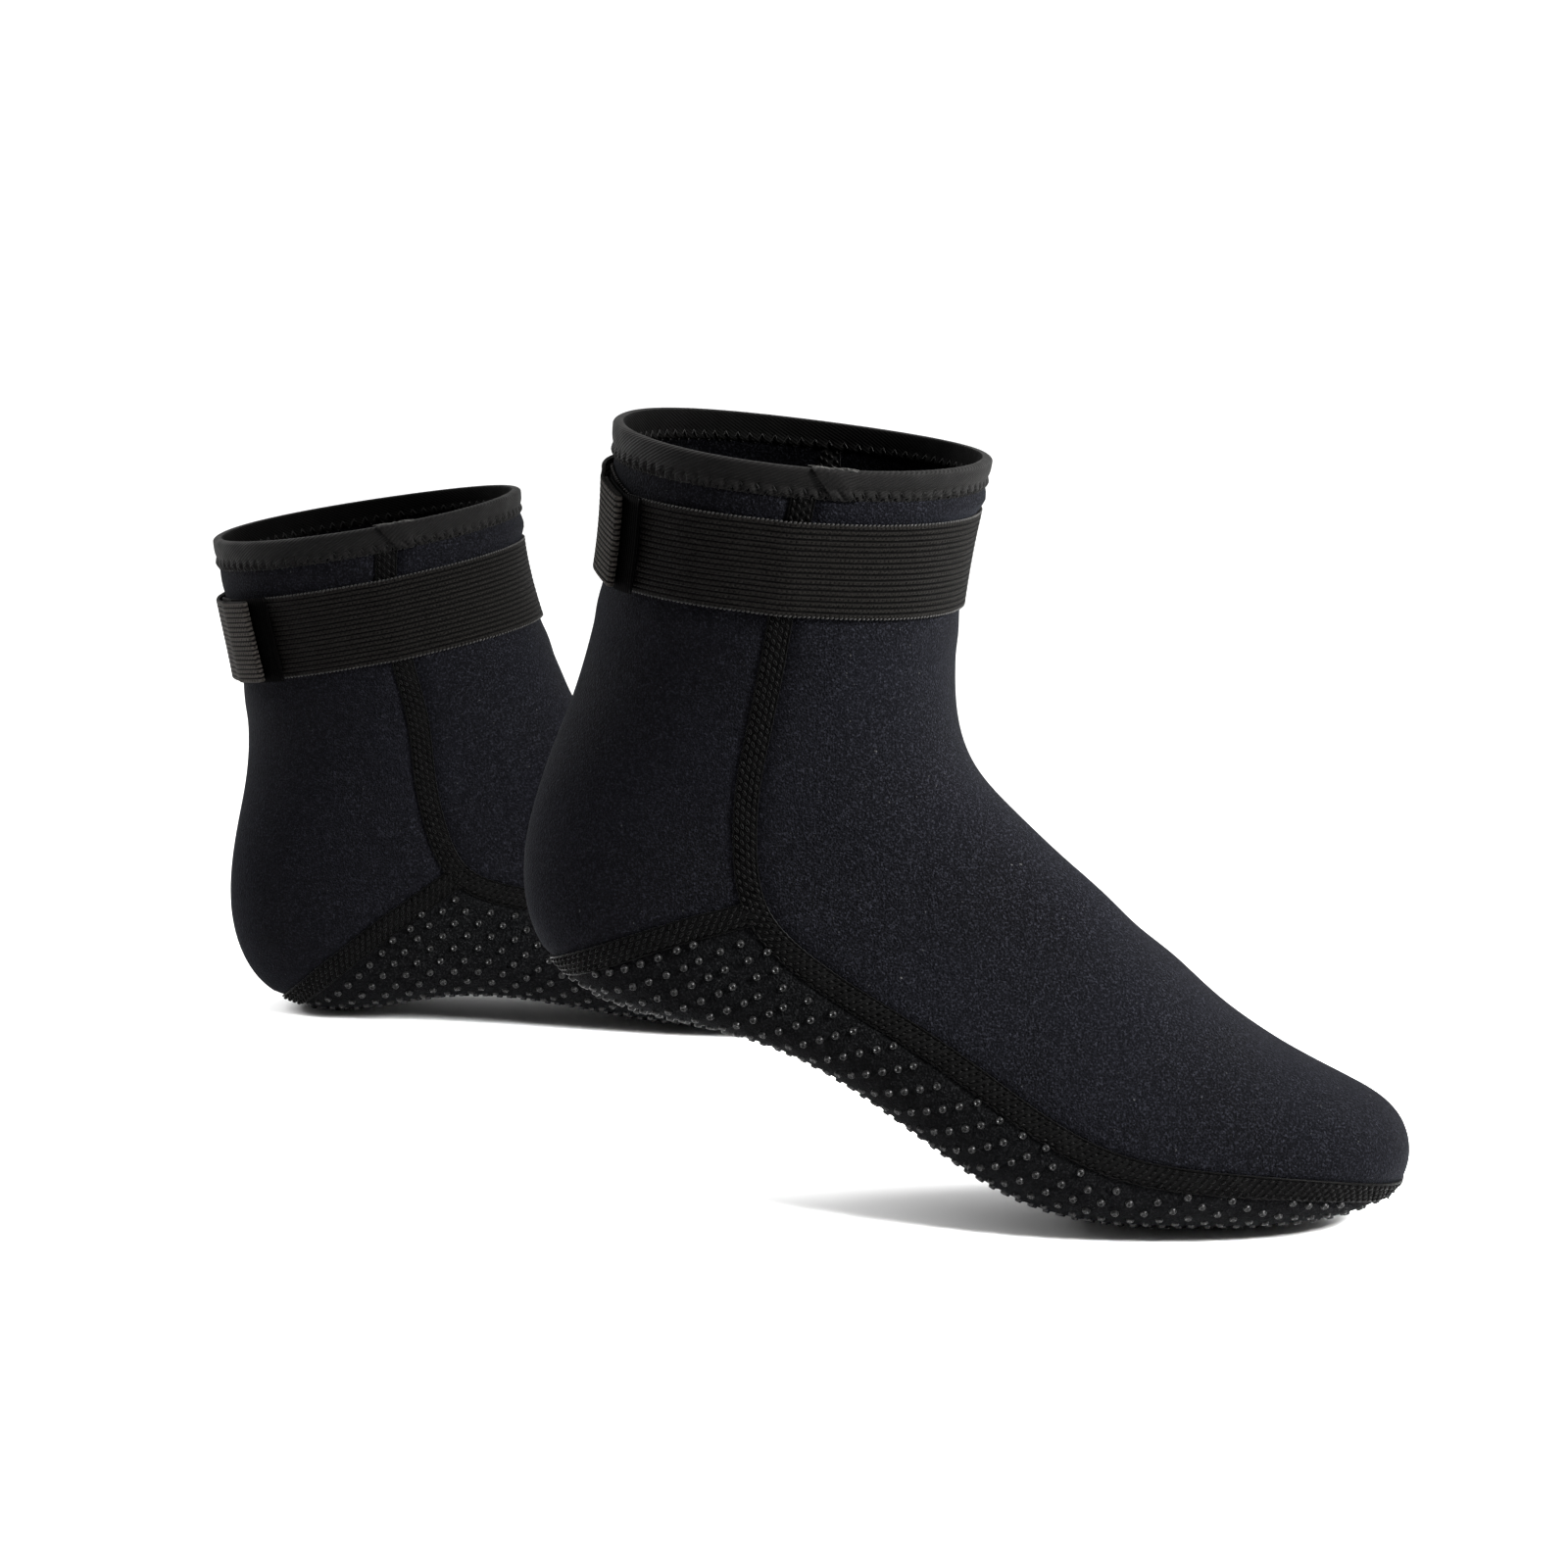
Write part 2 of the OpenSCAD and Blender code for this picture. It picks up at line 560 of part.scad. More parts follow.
front_panel(RIGHT);  // right_front_panel
heel_panel(RIGHT);  // right_heel_panel
sole_panel(RIGHT);  // right_sole_panel
top_binding(RIGHT);  // right_top_binding
binding_stitching(RIGHT);  // right_binding_stitching
lateral_seam(RIGHT);  // right_lateral_seam
medial_seam(RIGHT);  // right_medial_seam
sole_seam(RIGHT);  // right_sole_seam
ankle_strap(RIGHT);  // right_ankle_strap
strap_stitching(RIGHT);  // right_strap_stitching
loop_patch(RIGHT);  // right_loop_patch
strap_tail(RIGHT);  // right_strap_tail
hook_patch(RIGHT);  // right_hook_patch
tread_dots(RIGHT);  // right_tread_dots
grip_dots(RIGHT);  // right_grip_dots
front_panel(LEFT);  // left_front_panel
heel_panel(LEFT);  // left_heel_panel
sole_panel(LEFT);  // left_sole_panel
top_binding(LEFT);  // left_top_binding
binding_stitching(LEFT);  // left_binding_stitching
lateral_seam(LEFT);  // left_lateral_seam
medial_seam(LEFT);  // left_medial_seam
sole_seam(LEFT);  // left_sole_seam
ankle_strap(LEFT);  // left_ankle_strap
strap_stitching(LEFT);  // left_strap_stitching
loop_patch(LEFT);  // left_loop_patch
strap_tail(LEFT);  // left_strap_tail
hook_patch(LEFT);  // left_hook_patch
tread_dots(LEFT);  // left_tread_dots
grip_dots(LEFT);  // left_grip_dots
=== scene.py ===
import math

import bmesh
import bpy
import numpy as np
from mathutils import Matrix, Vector


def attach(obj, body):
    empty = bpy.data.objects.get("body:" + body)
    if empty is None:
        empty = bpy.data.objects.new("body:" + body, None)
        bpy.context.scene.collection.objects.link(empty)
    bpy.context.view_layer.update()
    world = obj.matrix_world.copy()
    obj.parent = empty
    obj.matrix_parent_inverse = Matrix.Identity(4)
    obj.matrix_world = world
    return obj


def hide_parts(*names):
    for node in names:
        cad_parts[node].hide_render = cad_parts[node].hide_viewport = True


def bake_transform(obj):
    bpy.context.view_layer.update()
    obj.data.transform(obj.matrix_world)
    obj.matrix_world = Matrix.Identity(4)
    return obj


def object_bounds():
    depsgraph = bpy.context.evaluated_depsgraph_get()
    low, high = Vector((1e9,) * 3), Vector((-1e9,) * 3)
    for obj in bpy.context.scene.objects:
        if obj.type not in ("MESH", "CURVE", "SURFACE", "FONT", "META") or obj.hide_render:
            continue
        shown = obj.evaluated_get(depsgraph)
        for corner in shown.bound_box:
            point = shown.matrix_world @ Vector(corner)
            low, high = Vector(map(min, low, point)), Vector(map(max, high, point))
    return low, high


# Looks for a pair of ankle-high neoprene boots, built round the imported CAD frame. The boots'
# surface is the CAD source's own: t runs from 0 at the opening to TOE, a is degrees round from
# the front, positive on the outer side. Lengths are in millimetres until a mesh is made.

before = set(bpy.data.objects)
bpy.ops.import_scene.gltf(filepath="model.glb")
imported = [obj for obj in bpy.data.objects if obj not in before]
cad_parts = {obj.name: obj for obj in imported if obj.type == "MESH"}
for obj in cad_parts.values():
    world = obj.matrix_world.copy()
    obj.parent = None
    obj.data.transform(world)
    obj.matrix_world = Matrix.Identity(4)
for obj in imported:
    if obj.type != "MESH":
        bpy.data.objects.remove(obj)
CAD_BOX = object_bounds()
MM = 0.001

# ---- Sizes that part.scad uses ----

# The neoprene's thickness, below and at the opening, and how far down it thickens
WALL, RIM_WALL, SQUEEZE = 3.0, 2.0, 12.0
SEAM_W = 6.5
BINDING_H = 8.0
# Where the binding's two ends lap, in degrees from the front
LAP = 68
DOT_PITCH, DOT_D, DOT_H = 5.6, 2.2, 0.8
# The last station, at the tip of the toe
TOE = 14
# Stations of the sole seam's peaks at the sides and of its lowest point behind the heel
PEAK, HEEL, HEEL_CURVE = 5.95, 6.45, 2.2
# The point the boot is placed by, and where along it the toes start and stop bending up
BALL, BEND_FROM, BEND_TO, BEND_STEP, BEND_Z = 170, 150, 225, 3, 8
# Stations over which the opening's dip and the inner seam's shift fade out
RIM_DIP_DEPTH = 1.2
SEAM_PULL_TO = 3.0
# The strap: its ends and the tail's fold and root are in degrees round from the front
STRAP_W, STRAP_TH, STRAP_GAP = 26.5, 1.2, 0.2
STRAP_SPAN = (-160, 160)
TAIL_END, TAIL_ROOT, TAIL_GAP = 138.0, 199, 0.5
LOOP_TH, HOOK_GAP, HOOK_TH = 0.5, 0.4, 0.9
# Heights above the shell
STRAP_OUT = STRAP_GAP + STRAP_TH
LOOP_OUT = STRAP_OUT + LOOP_TH
HOOK_IN = LOOP_OUT + HOOK_GAP
TAIL_IN = HOOK_IN + HOOK_TH

# Each station's front x and z, then its back x and z, before the toes bend and the boot tilts
OUTLINES = {
    "right": [
        [82, 182, -19, 152], [85, 160, -9, 127], [92, 132, -4, 103], [100, 113, -1, 79],
        [111, 100.5, -1, 54], [127, 94.5, 0, 32], [145, 88, 11, 3], [163, 83, 40, -5],
        [180, 77.5, 73, 6], [202, 73, 104, 10], [220, 62, 139, 4], [237.5, 51.5, 173, -3],
        [258, 44, 209, 1], [276, 36, 247, 3], [279, 13, 279, 13],
    ],
    "left": [
        [93, 170, -5, 154], [93, 152, -1, 132], [100, 127, 4, 109], [108, 110, 6, 85],
        [113, 98, 1, 59], [127, 91, -4, 34], [144, 86, 5, 4], [162, 80.5, 35, -3],
        [180, 76.5, 70, 8], [202, 71, 102, 7], [220, 62, 137, 1], [237.5, 52, 172, 0],
        [258, 44, 208, 4], [276, 36, 247, 4], [279, 13, 279, 13],
    ],
}
# Each station's half width inner and outer, place of the widest point from back to front,
# squareness front and back, seam angle inner and outer
WIDTHS = [
    [49, 49, 0.50, 2.1, 2.1, 71, 76], [48, 48, 0.50, 2.1, 2.1, 75, 78],
    [45, 45, 0.50, 2.1, 2.1, 76, 79], [41, 41, 0.48, 2.1, 2.1, 75, 80],
    [38, 38, 0.45, 2.1, 2.2, 74, 81], [35, 35, 0.42, 2.1, 2.3, 75, 82],
    [35, 35, 0.38, 2.1, 2.4, 77, 82], [35, 35, 0.34, 2.1, 2.7, 73, 79],
    [36, 37, 0.32, 2.1, 2.8, 75, 83], [39, 41, 0.32, 2.1, 2.8, 78, 86],
    [42, 45, 0.33, 2.1, 2.9, 80, 84], [43, 46, 0.35, 2.1, 2.9, 82, 82],
    [40, 42, 0.38, 2.1, 2.7, 84, 84], [30, 31, 0.44, 2.1, 2.4, 84, 84],
    [0, 0, 0.50, 2.0, 2.0, 84, 84],
]


def unit(v):
    return v / np.maximum(np.linalg.norm(v, axis=-1, keepdims=True), 1e-12)


def lengths(points):
    """Distance from each point to the next."""
    return np.linalg.norm(np.diff(points, axis=0), axis=1)


def runs(points):
    """Distance along the points from the first to each."""
    return np.concatenate([[0], np.cumsum(lengths(points))])


def smooth(low, high, x):
    u = np.clip((x - low) / (high - low), 0, 1)
    return u * u * (3 - 2 * u)


# Step between the stations where lengths along the boot are measured
STATION_STEP = 0.1
# The underside of the heel, arch and toes, where the boot can touch the floor
UNDERSIDE = np.meshgrid(np.arange(6, TOE + 0.01, 0.25), np.arange(130, 231, 10.0))
# Degrees over which the strap's far end climbs; the near end climbs from the tail's fold
CLIMB_OVER = 35


class Boot:
    """The surface of one boot, as part.scad defines it."""

    def __init__(self, side, pitch, toe_bend, turn, **measures):
        self.side = side
        self.pitch, self.toe_bend, self.turn = (math.radians(x) for x in (pitch, toe_bend, turn))
        # place, outer, near, rim_dip, strap_drop, strap_climb, tail_end and seam_pull
        self.__dict__.update(measures)
        rows = [np.array(o + w, float) for o, w in zip(OUTLINES[side], WIDTHS)]
        s = rows[TOE - 1]
        past = [s[2], s[3], s[0], s[1], -s[4], -s[5], 1 - s[6], s[8], s[7], s[9], s[10]]
        self.sections = np.array([2 * rows[0] - rows[1], *rows, past])
        self.bend_at = np.arange(BEND_FROM, BEND_TO + 1, BEND_STEP)
        angle = self.bend_angle(self.bend_at[:-1] + BEND_STEP / 2)
        self.bent_x = BEND_FROM + BEND_STEP * np.cumsum([0, *np.cos(angle)])
        self.bent_z = BEND_Z + BEND_STEP * np.cumsum([0, *np.sin(angle)])
        self.lift = DOT_H - self.pitched(self.flat(*UNDERSIDE))[..., 2].min()
        self.stations = np.arange(0, TOE + 0.01, STATION_STEP)
        self.runs = runs(self.shell(self.stations, 90.0))

    def section(self, t):
        """The station's row of numbers, from a smooth spline through the rows."""
        t = np.asarray(t, float)
        i = np.minimum(np.floor(t).astype(int), TOE - 1)
        u = t - i
        weights = (
            (1 - u) ** 3, 3 * u**3 - 6 * u * u + 4, -3 * u**3 + 3 * u * u + 3 * u + 1, u**3,
        )
        return sum(w[..., None] * self.sections[i + k] for k, w in enumerate(weights)) / 6

    def flat(self, t, a):
        """Points of the boot lying flat and straight."""
        r = self.section(t)
        c, s = np.cos(np.radians(a)), np.sin(np.radians(a))
        e = 2 / np.where(c >= 0, r[..., 7], r[..., 8])
        front, back = r[..., 0:2], r[..., 2:4]
        mid = back + (front - back) * r[..., 6:7]
        xz = mid + (np.where(c[..., None] >= 0, front, back) - mid) * (abs(c) ** e)[..., None]
        y = np.where(s >= 0, r[..., 5], -r[..., 4]) * abs(s) ** e
        dip = self.rim_dip * s * s * np.maximum(0, 1 - np.asarray(t) / RIM_DIP_DEPTH) ** 1.5
        return np.stack([xz[..., 0], y, xz[..., 1] - dip], -1)

    def bend_angle(self, x):
        """How far the sole's line has turned up by x."""
        return self.toe_bend * smooth(BEND_FROM, BEND_TO, x)

    def pitched(self, p):
        """The points with the toes bent up and the boot tilted onto them."""
        x, up, angle = p[..., 0], p[..., 2] - BEND_Z, self.bend_angle(p[..., 0])
        past = np.maximum(0, x - BEND_TO)
        bent_x = np.interp(x, self.bend_at, self.bent_x) + np.minimum(0, x - BEND_FROM)
        z = np.interp(x, self.bend_at, self.bent_z) + up * np.cos(angle) + past * np.sin(angle)
        x = bent_x - up * np.sin(angle) + past * np.cos(angle) - BALL
        c, s = math.cos(self.pitch), math.sin(self.pitch)
        return np.stack([x * c + z * s, self.outer * p[..., 1], z * c - x * s], -1)

    def shell(self, t, a):
        """Points of the boot where it stands."""
        p = self.pitched(self.flat(np.asarray(t, float), np.asarray(a, float)))
        c, s = math.cos(self.turn), math.sin(self.turn)
        return np.stack([
            self.place[0] + p[..., 0] * c + p[..., 1] * s,
            self.place[1] + p[..., 1] * c - p[..., 0] * s,
            p[..., 2] + self.lift,
        ], -1)

    def normal(self, t, a):
        t, a = np.broadcast_arrays(np.asarray(t, float), np.asarray(a, float))
        u = np.clip(t, 0.02, TOE - 0.02)
        along = self.shell(u + 0.02, a) - self.shell(u - 0.02, a)
        v = unit(self.outer * np.cross(along, self.shell(u, a + 0.5) - self.shell(u, a - 0.5)))
        ends = self.shell([TOE, TOE - 1, TOE - 1], [0, 0, 180])
        tip = unit(ends[0] - (ends[1] + ends[2]) / 2)
        return np.where((t > TOE - 0.02)[..., None], tip, v)

    def skin(self, t, a, h):
        """Points h outside the shell. A negative t carries on above the opening."""
        t, a, h = np.broadcast_arrays(*(np.asarray(x, float) for x in (t, a, h)))
        u = np.maximum(t, 0)
        p = self.shell(u, a) + h[..., None] * self.normal(u, a)
        above = self.shell(np.zeros_like(a), a) - self.shell(np.full_like(a, STATION_STEP), a)
        return p - 1 / STATION_STEP * np.minimum(t, 0)[..., None] * above

    def down(self, mm):
        """The station some millimetres down the shaft from the opening's edge, or above it."""
        mm = np.asarray(mm, float)
        above = mm * self.stations[1] / self.runs[1]
        return np.where(mm < 0, above, np.interp(mm, self.runs, self.stations))

    def depth(self, t):
        """Millimetres from the opening's edge down to station t."""
        return np.interp(t, self.stations, self.runs)

    def wall_at(self, t):
        return np.interp(t, [0, self.down(SQUEEZE)], [RIM_WALL, WALL])

    def on_strap(self, a, down, h):
        """A point beside the strap, down from its top edge, which climbs behind the ankle."""
        turns = [STRAP_SPAN[0], STRAP_SPAN[0] + CLIMB_OVER, TAIL_END, STRAP_SPAN[1]]
        climb = self.strap_climb * np.interp(a, turns, [1, 0, 0, 1])
        t = self.down(self.strap_drop - climb + down)
        return self.skin(t, self.near * np.asarray(a, float), h)

    def inner_seam(self, t):
        pull = self.seam_pull * np.maximum(0, 1 - np.asarray(t) / SEAM_PULL_TO)
        return self.section(t)[..., 9] + pull

    def outer_seam(self, t):
        return self.section(t)[..., 10]

    def seam_angles(self, t, s):
        return np.where(s >= 0, self.outer_seam(t), self.inner_seam(t))

    def front_angle(self, t, s):
        """Across the front: s is -1 at the inner seam and 1 at the outer one."""
        return s * self.seam_angles(t, s)

    def back_angle(self, t, s):
        """Across the back and sole, from seam to seam in the same way."""
        return 180 - s * (180 - self.seam_angles(t, s))


RIGHT = Boot(
    "right", pitch=22.5, toe_bend=18.5, turn=13.5, place=(73, -129.5), outer=-1, near=1,
    rim_dip=1.5, strap_drop=14.5, strap_climb=5, tail_end=TAIL_END, seam_pull=22,
)
LEFT = Boot(
    "left", pitch=0.3, toe_bend=4, turn=8, place=(-6, 117.5), outer=1, near=-1,
    rim_dip=0.5, strap_drop=16.5, strap_climb=0, tail_end=TAIL_END - 9, seam_pull=0,
)


def heel_t(s):
    """The sole seam's station across the heel."""
    return HEEL - (HEEL - PEAK) * abs(s) ** HEEL_CURVE


# ---- Meshes ----


class Shape:
    """Points, faces, a material number for each face and weave coordinates for each point."""

    def __init__(self):
        self.points, self.faces, self.materials, self.weave, self.count = [], [], [], [], 0

    def add(self, points, faces, material=0, weave=None):
        points = np.asarray(points, float).reshape(-1, 3)
        faces = np.asarray(faces, int)
        self.points.append(points)
        self.faces += (faces + self.count).tolist()
        self.materials += [material] * len(faces)
        self.weave.append(np.zeros((len(points), 2)) if weave is None else weave.reshape(-1, 2))
        self.count += len(points)

    def piece(self, boot, part, kind, materials, body="boot"):
        """The piece that stands for one CAD node of the boot and rides on its boot or tail."""
        node = f"{boot.side}_{part}"
        name = f"{node}_{kind}"
        mesh = bpy.data.meshes.new(name)
        mesh.from_pydata((np.concatenate(self.points) * MM).tolist(), [], self.faces)
        mesh.polygons.foreach_set("material_index", self.materials)
        weave = mesh.attributes.new("weave", "FLOAT_VECTOR", "POINT")
        uv = np.concatenate(self.weave)
        flat = np.column_stack([uv, np.zeros(len(uv))]) * MM
        weave.data.foreach_set("vector", flat.ravel().astype(np.float32))
        bm = bmesh.new()
        bm.from_mesh(mesh)
        bmesh.ops.remove_doubles(bm, verts=bm.verts, dist=1e-6)
        bmesh.ops.dissolve_degenerate(bm, edges=bm.edges, dist=1e-7)
        bmesh.ops.recalc_face_normals(bm, faces=bm.faces)
        bm.to_mesh(mesh)
        bm.free()
        mesh.polygons.foreach_set("use_smooth", [True] * len(mesh.polygons))
        piece = bpy.data.objects.new(name, mesh)
        bpy.context.scene.collection.objects.link(piece)
        for m in materials:
            mesh.materials.append(MATERIALS[m])
        if body:
            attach(piece, f"{boot.side}_{body}")
        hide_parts(node)
        return piece


def grid_faces(rows, cols, wrap=False):
    """Quads of a grid of points; wrap joins the last column to the first."""
    i, j = np.meshgrid(np.arange(rows - 1), np.arange(cols if wrap else cols - 1), indexing="ij")
    k, right = i * cols + j, i * cols + (j + 1) % cols
    return np.stack([k, right, right + cols, k + cols], -1).reshape(-1, 4)


def border(rows, cols):
    """Point numbers round the edge of a grid."""
    top, bottom = np.arange(cols), np.arange(cols)[::-1] + (rows - 1) * cols
    right, left = np.arange(1, rows - 1) * cols + cols - 1, np.arange(rows - 2, 0, -1) * cols
    return np.concatenate([top, right, bottom, left])


def add_sheet(shape, outer, inner, weave, inner_material=0):
    """A closed sheet between two grids of points."""
    rows, cols = outer.shape[:2]
    n = rows * cols
    faces = grid_faces(rows, cols)
    edge = border(rows, cols)
    after = np.roll(edge, -1)
    sides = np.stack([edge, after, after + n, edge + n], -1)
    both = np.concatenate([weave.reshape(-1, 2)] * 2)
    points = np.concatenate([outer.reshape(-1, 3), inner.reshape(-1, 3)])
    shape.add(points, np.concatenate([faces, sides, faces[:, ::-1] + n]), 0, both)
    shape.materials[-len(faces):] = [inner_material] * len(faces)


def add_sweep(shape, rows, weave=None, material=0):
    """A solid swept through closed outlines, with capped ends."""
    n, m = rows.shape[:2]
    shape.add(rows, grid_faces(n, m, wrap=True), material, weave)
    start = shape.count - n * m
    for first in (start, start + (n - 1) * m):
        shape.faces.append(list(range(first, first + m)))
        shape.materials.append(material)


def circle(sides):
    """Angles of the corners of a regular outline."""
    return np.linspace(0, 2 * math.pi, sides, endpoint=False)


def add_tube(shape, points, radius, sides=6, material=0):
    """A round thread through the points."""
    along = unit(np.gradient(points, axis=0))
    across = unit(np.cross(along, along[:, [1, 2, 0]] + [0.3, 0.1, 0.7]))
    for i in range(1, len(across)):
        across[i] = unit(across[i - 1] - along[i] * (across[i - 1] @ along[i]))
    other = np.cross(along, across)
    turn = circle(sides)[:, None]
    ring = np.cos(turn) * across[:, None] + np.sin(turn) * other[:, None]
    add_sweep(shape, points[:, None] + radius * ring, material=material)


def add_stamps(shape, template, at, x, z, material=0):
    """A copy of the template's points and faces at each place, turned to its x and z axes."""
    points, faces = template
    y = np.cross(z, x)
    placed = (
        at[:, None] + points[None, :, 0:1] * x[:, None]
        + points[None, :, 1:2] * y[:, None] + points[None, :, 2:3] * z[:, None]
    )
    offsets = shape.count + np.arange(len(at))[:, None, None] * len(points)
    shape.add(placed, np.zeros((0, 4)), material)
    for corners in sorted({len(f) for f in faces}):
        same = np.array([f for f in faces if len(f) == corners])
        copies = (same[None] + offsets).reshape(-1, corners)
        shape.faces += copies.tolist()
        shape.materials += [material] * len(copies)


TIP_DIP = 0.03


def revolved(profile, sides):
    """Points and faces of a dome turned from (radius, height) pairs, open underneath."""
    turn = circle(sides)
    rings = [
        np.column_stack([r * np.cos(turn), r * np.sin(turn), np.full(sides, z)])
        for r, z in profile
    ]
    points = np.concatenate([*rings, [[0, 0, profile[-1][1] - TIP_DIP]]])
    faces = grid_faces(len(profile), sides, wrap=True).tolist()
    last, tip = (len(profile) - 1) * sides, len(profile) * sides
    faces += [[last + k, last + (k + 1) % sides, tip] for k in range(sides)]
    return points, faces


def capsule(length, width, height, sides=6, rings=5):
    """A plump stitch lying along x: wide across y, low along z."""
    turn = circle(sides)
    u = np.linspace(-1, 1, rings)
    girth = np.sqrt(np.maximum(1 - np.abs(u) ** 3, 0.06))
    points = np.stack([
        np.repeat(u * length / 2, sides),
        np.outer(girth, np.cos(turn)).ravel() * width / 2,
        np.outer(girth, np.sin(turn)).ravel() * height / 2,
    ], -1)
    faces = grid_faces(rings, sides, wrap=True).tolist()
    faces += [list(range(sides)), list(range((rings - 1) * sides, rings * sides))]
    return points, faces


# ---- Neoprene panels ----

# How far the panels are drawn in under a seam, outside and inside, and over what width
GROOVE, INSIDE_GROOVE = 0.75, 0.3
GROOVE_FROM, GROOVE_TO = SEAM_W / 2 - 0.8, SEAM_W / 2 + 4
# Height of the soft swells: between binding and strap all round and more in front, below strap
SWELL, FRONT_SWELL, LOW_SWELL = 0.4, 1.1, 0.45
# The slow unevenness, how far below the strap it starts, and where by a seam it fades
RIPPLE, RIPPLE_BELOW, RIPPLE_CLEAR = 0.16, 4, (3, 16)
# Rows and columns of points on the panels
ACROSS = 100
SHAFT_ROWS, FOOT_ROWS, HEEL_ROWS, SOLE_ROWS = 74, 112, 78, 130


def spread(n):
    """Columns from -1 to 1, closer together at the seams."""
    u = np.linspace(-1, 1, n)
    return 0.6 * u + 0.4 * np.sin(u * math.pi / 2)


def hump(x, low, high):
    """Rises from 0 at low to 1 half way and back to 0 at high."""
    u = np.clip((x - low) / (high - low), 0, 1)
    return np.sin(u * math.pi) ** 2


def edge_distance(points, edges):
    """How far each grid point is from the nearest of the named edges."""
    found = []
    for axis, names in ((0, ("top", "bottom")), (1, ("left", "right"))):
        steps = np.linalg.norm(np.diff(points, axis=axis), axis=-1)
        run = np.insert(np.cumsum(steps, axis=axis), 0, 0, axis=axis)
        total = run.max(axis=axis, keepdims=True)
        found += [d for name, d in zip(names, (run, total - run)) if name in edges]
    return np.minimum.reduce(found)


def shaft_profile(boot, t, a):
    """The shaft swells between the binding and the strap, most in front, and below the strap."""
    mm = boot.depth(t)
    strap_end = boot.strap_drop + STRAP_W
    above = SWELL + FRONT_SWELL * np.maximum(0, np.cos(np.radians(a)))
    return (
        above * hump(mm, BINDING_H - 2, boot.strap_drop + 1.5)
        + LOW_SWELL * hump(mm, strap_end + 0.5, strap_end + 16)
    )


def ripple(p):
    """Slow unevenness of a soft sheet, by position."""
    x, y, z = p[..., 0], p[..., 1], p[..., 2]
    return (
        np.sin(x / 13 + z / 17 + 1.3) * np.sin(z / 11 - y / 19)
        + 0.6 * np.sin(x / 7.1 - y / 9.3 + z / 23) * np.sin(z / 8.3 + x / 29 + 0.7)
    )


def panel(boot, name, t, a, edges, fabric):
    """One panel of neoprene, drawn in along the edges that are sewn."""
    shell = boot.shell(t, a)
    room = edge_distance(shell, edges)
    clear = smooth(GROOVE_FROM, GROOVE_TO, room)
    below_strap = smooth(0, 12, boot.depth(t) - boot.strap_drop - STRAP_W - RIPPLE_BELOW)
    lift = (
        -GROOVE * (1 - clear) + shaft_profile(boot, t, a) * clear
        + RIPPLE * ripple(shell) * below_strap * smooth(*RIPPLE_CLEAR, room)
    )
    shape = Shape()
    outer = boot.skin(t, a, lift)
    inner = boot.skin(t, a, -boot.wall_at(t) + INSIDE_GROOVE * (1 - clear))
    run = np.stack([a, boot.depth(t)], -1)
    # The inner faces take a jersey darker than the outer one, without sheen: painted shade inside
    # the shaft
    add_sheet(shape, outer, inner, run, inner_material=1)
    shape.piece(boot, name, "neoprene", [fabric, "lining_painted_shade"])


def toward_toe(n):
    """Steps from 0 to 1 that get shorter where the toe rounds over."""
    return 1 - (1 - np.linspace(0, 1, n)) ** 1.5


def foot_stations(n):
    return PEAK + (TOE - PEAK) * toward_toe(n)


def panels(boot):
    across = spread(ACROSS)
    t = np.concatenate([np.linspace(0, PEAK, SHAFT_ROWS), foot_stations(FOOT_ROWS)[1:]])
    t, s = np.meshgrid(t, across, indexing="ij")
    panel(boot, "front_panel", t, boot.front_angle(t, s), ("left", "right"), "neoprene")
    r, s = np.meshgrid(np.linspace(0, 1, HEEL_ROWS), across, indexing="ij")
    t = r * heel_t(s)
    panel(boot, "heel_panel", t, boot.back_angle(t, s), ("left", "right", "bottom"), "neoprene")
    r, s = np.meshgrid(toward_toe(SOLE_ROWS), across, indexing="ij")
    t = heel_t(s) + (TOE - heel_t(s)) * r
    panel(boot, "sole_panel", t, boot.back_angle(t, s), ("left", "right", "top"), "sole_fabric")


# ---- Flatlock seams ----


class Track:
    """A line of points with its frame of axes at any length along it."""

    def __init__(self, points, up):
        self.points, self.up = points, up
        self.run = runs(points)
        # A hair is added between points, so that the line has a direction where two coincide
        apart = self.run + 1e-7 * np.arange(len(self.run))
        self.along = unit(np.gradient(self.points, apart, axis=0))
        self.length = self.run[-1]

    def at(self, s):
        def look(v):
            return np.stack([np.interp(s, self.run, v[:, k]) for k in range(3)], -1)

        up = unit(look(self.up))
        along = unit(look(self.along))
        along = unit(along - up * (along * up).sum(-1, keepdims=True))
        return look(self.points), along, np.cross(up, along), up


def surface_track(boot, t, a, lift=0.0, inside=False):
    up = boot.normal(t, a) * (-1 if inside else 1)
    return Track(boot.skin(t, a, lift), up)


# The stitches: their columns across the seam, and their length, width and height
STITCH_PITCH = 2.4
COLUMNS = (-2.3, -0.77, 0.77, 2.3)
COLUMN_HEIGHT = 0.3
FLATLOCK = capsule(1.7, 0.86, 0.95)
SLANT = 30
# How far a stitch strays along the seam in millimetres, and from its slant in radians
STRAY = 0.16
# The seam's sides fall away as on a cylinder of this diameter
ROUND = 76
# A band's section: distance across, height
BAND = (
    (-3.25, -0.6), (-3.05, -0.1), (-2.2, 0.1), (0, 0.16), (2.2, 0.1), (3.05, -0.1), (3.25, -0.6),
)
BAND_STEP, CORD_STEP = 1.5, 0.9
# The cord along each edge: distance across, height, radius and sway
EDGE_CORDS = (-3.2, 3.2)
CORD_HEIGHT, CORD_RADIUS, CORD_SWAY = 0.05, 0.26, 0.1


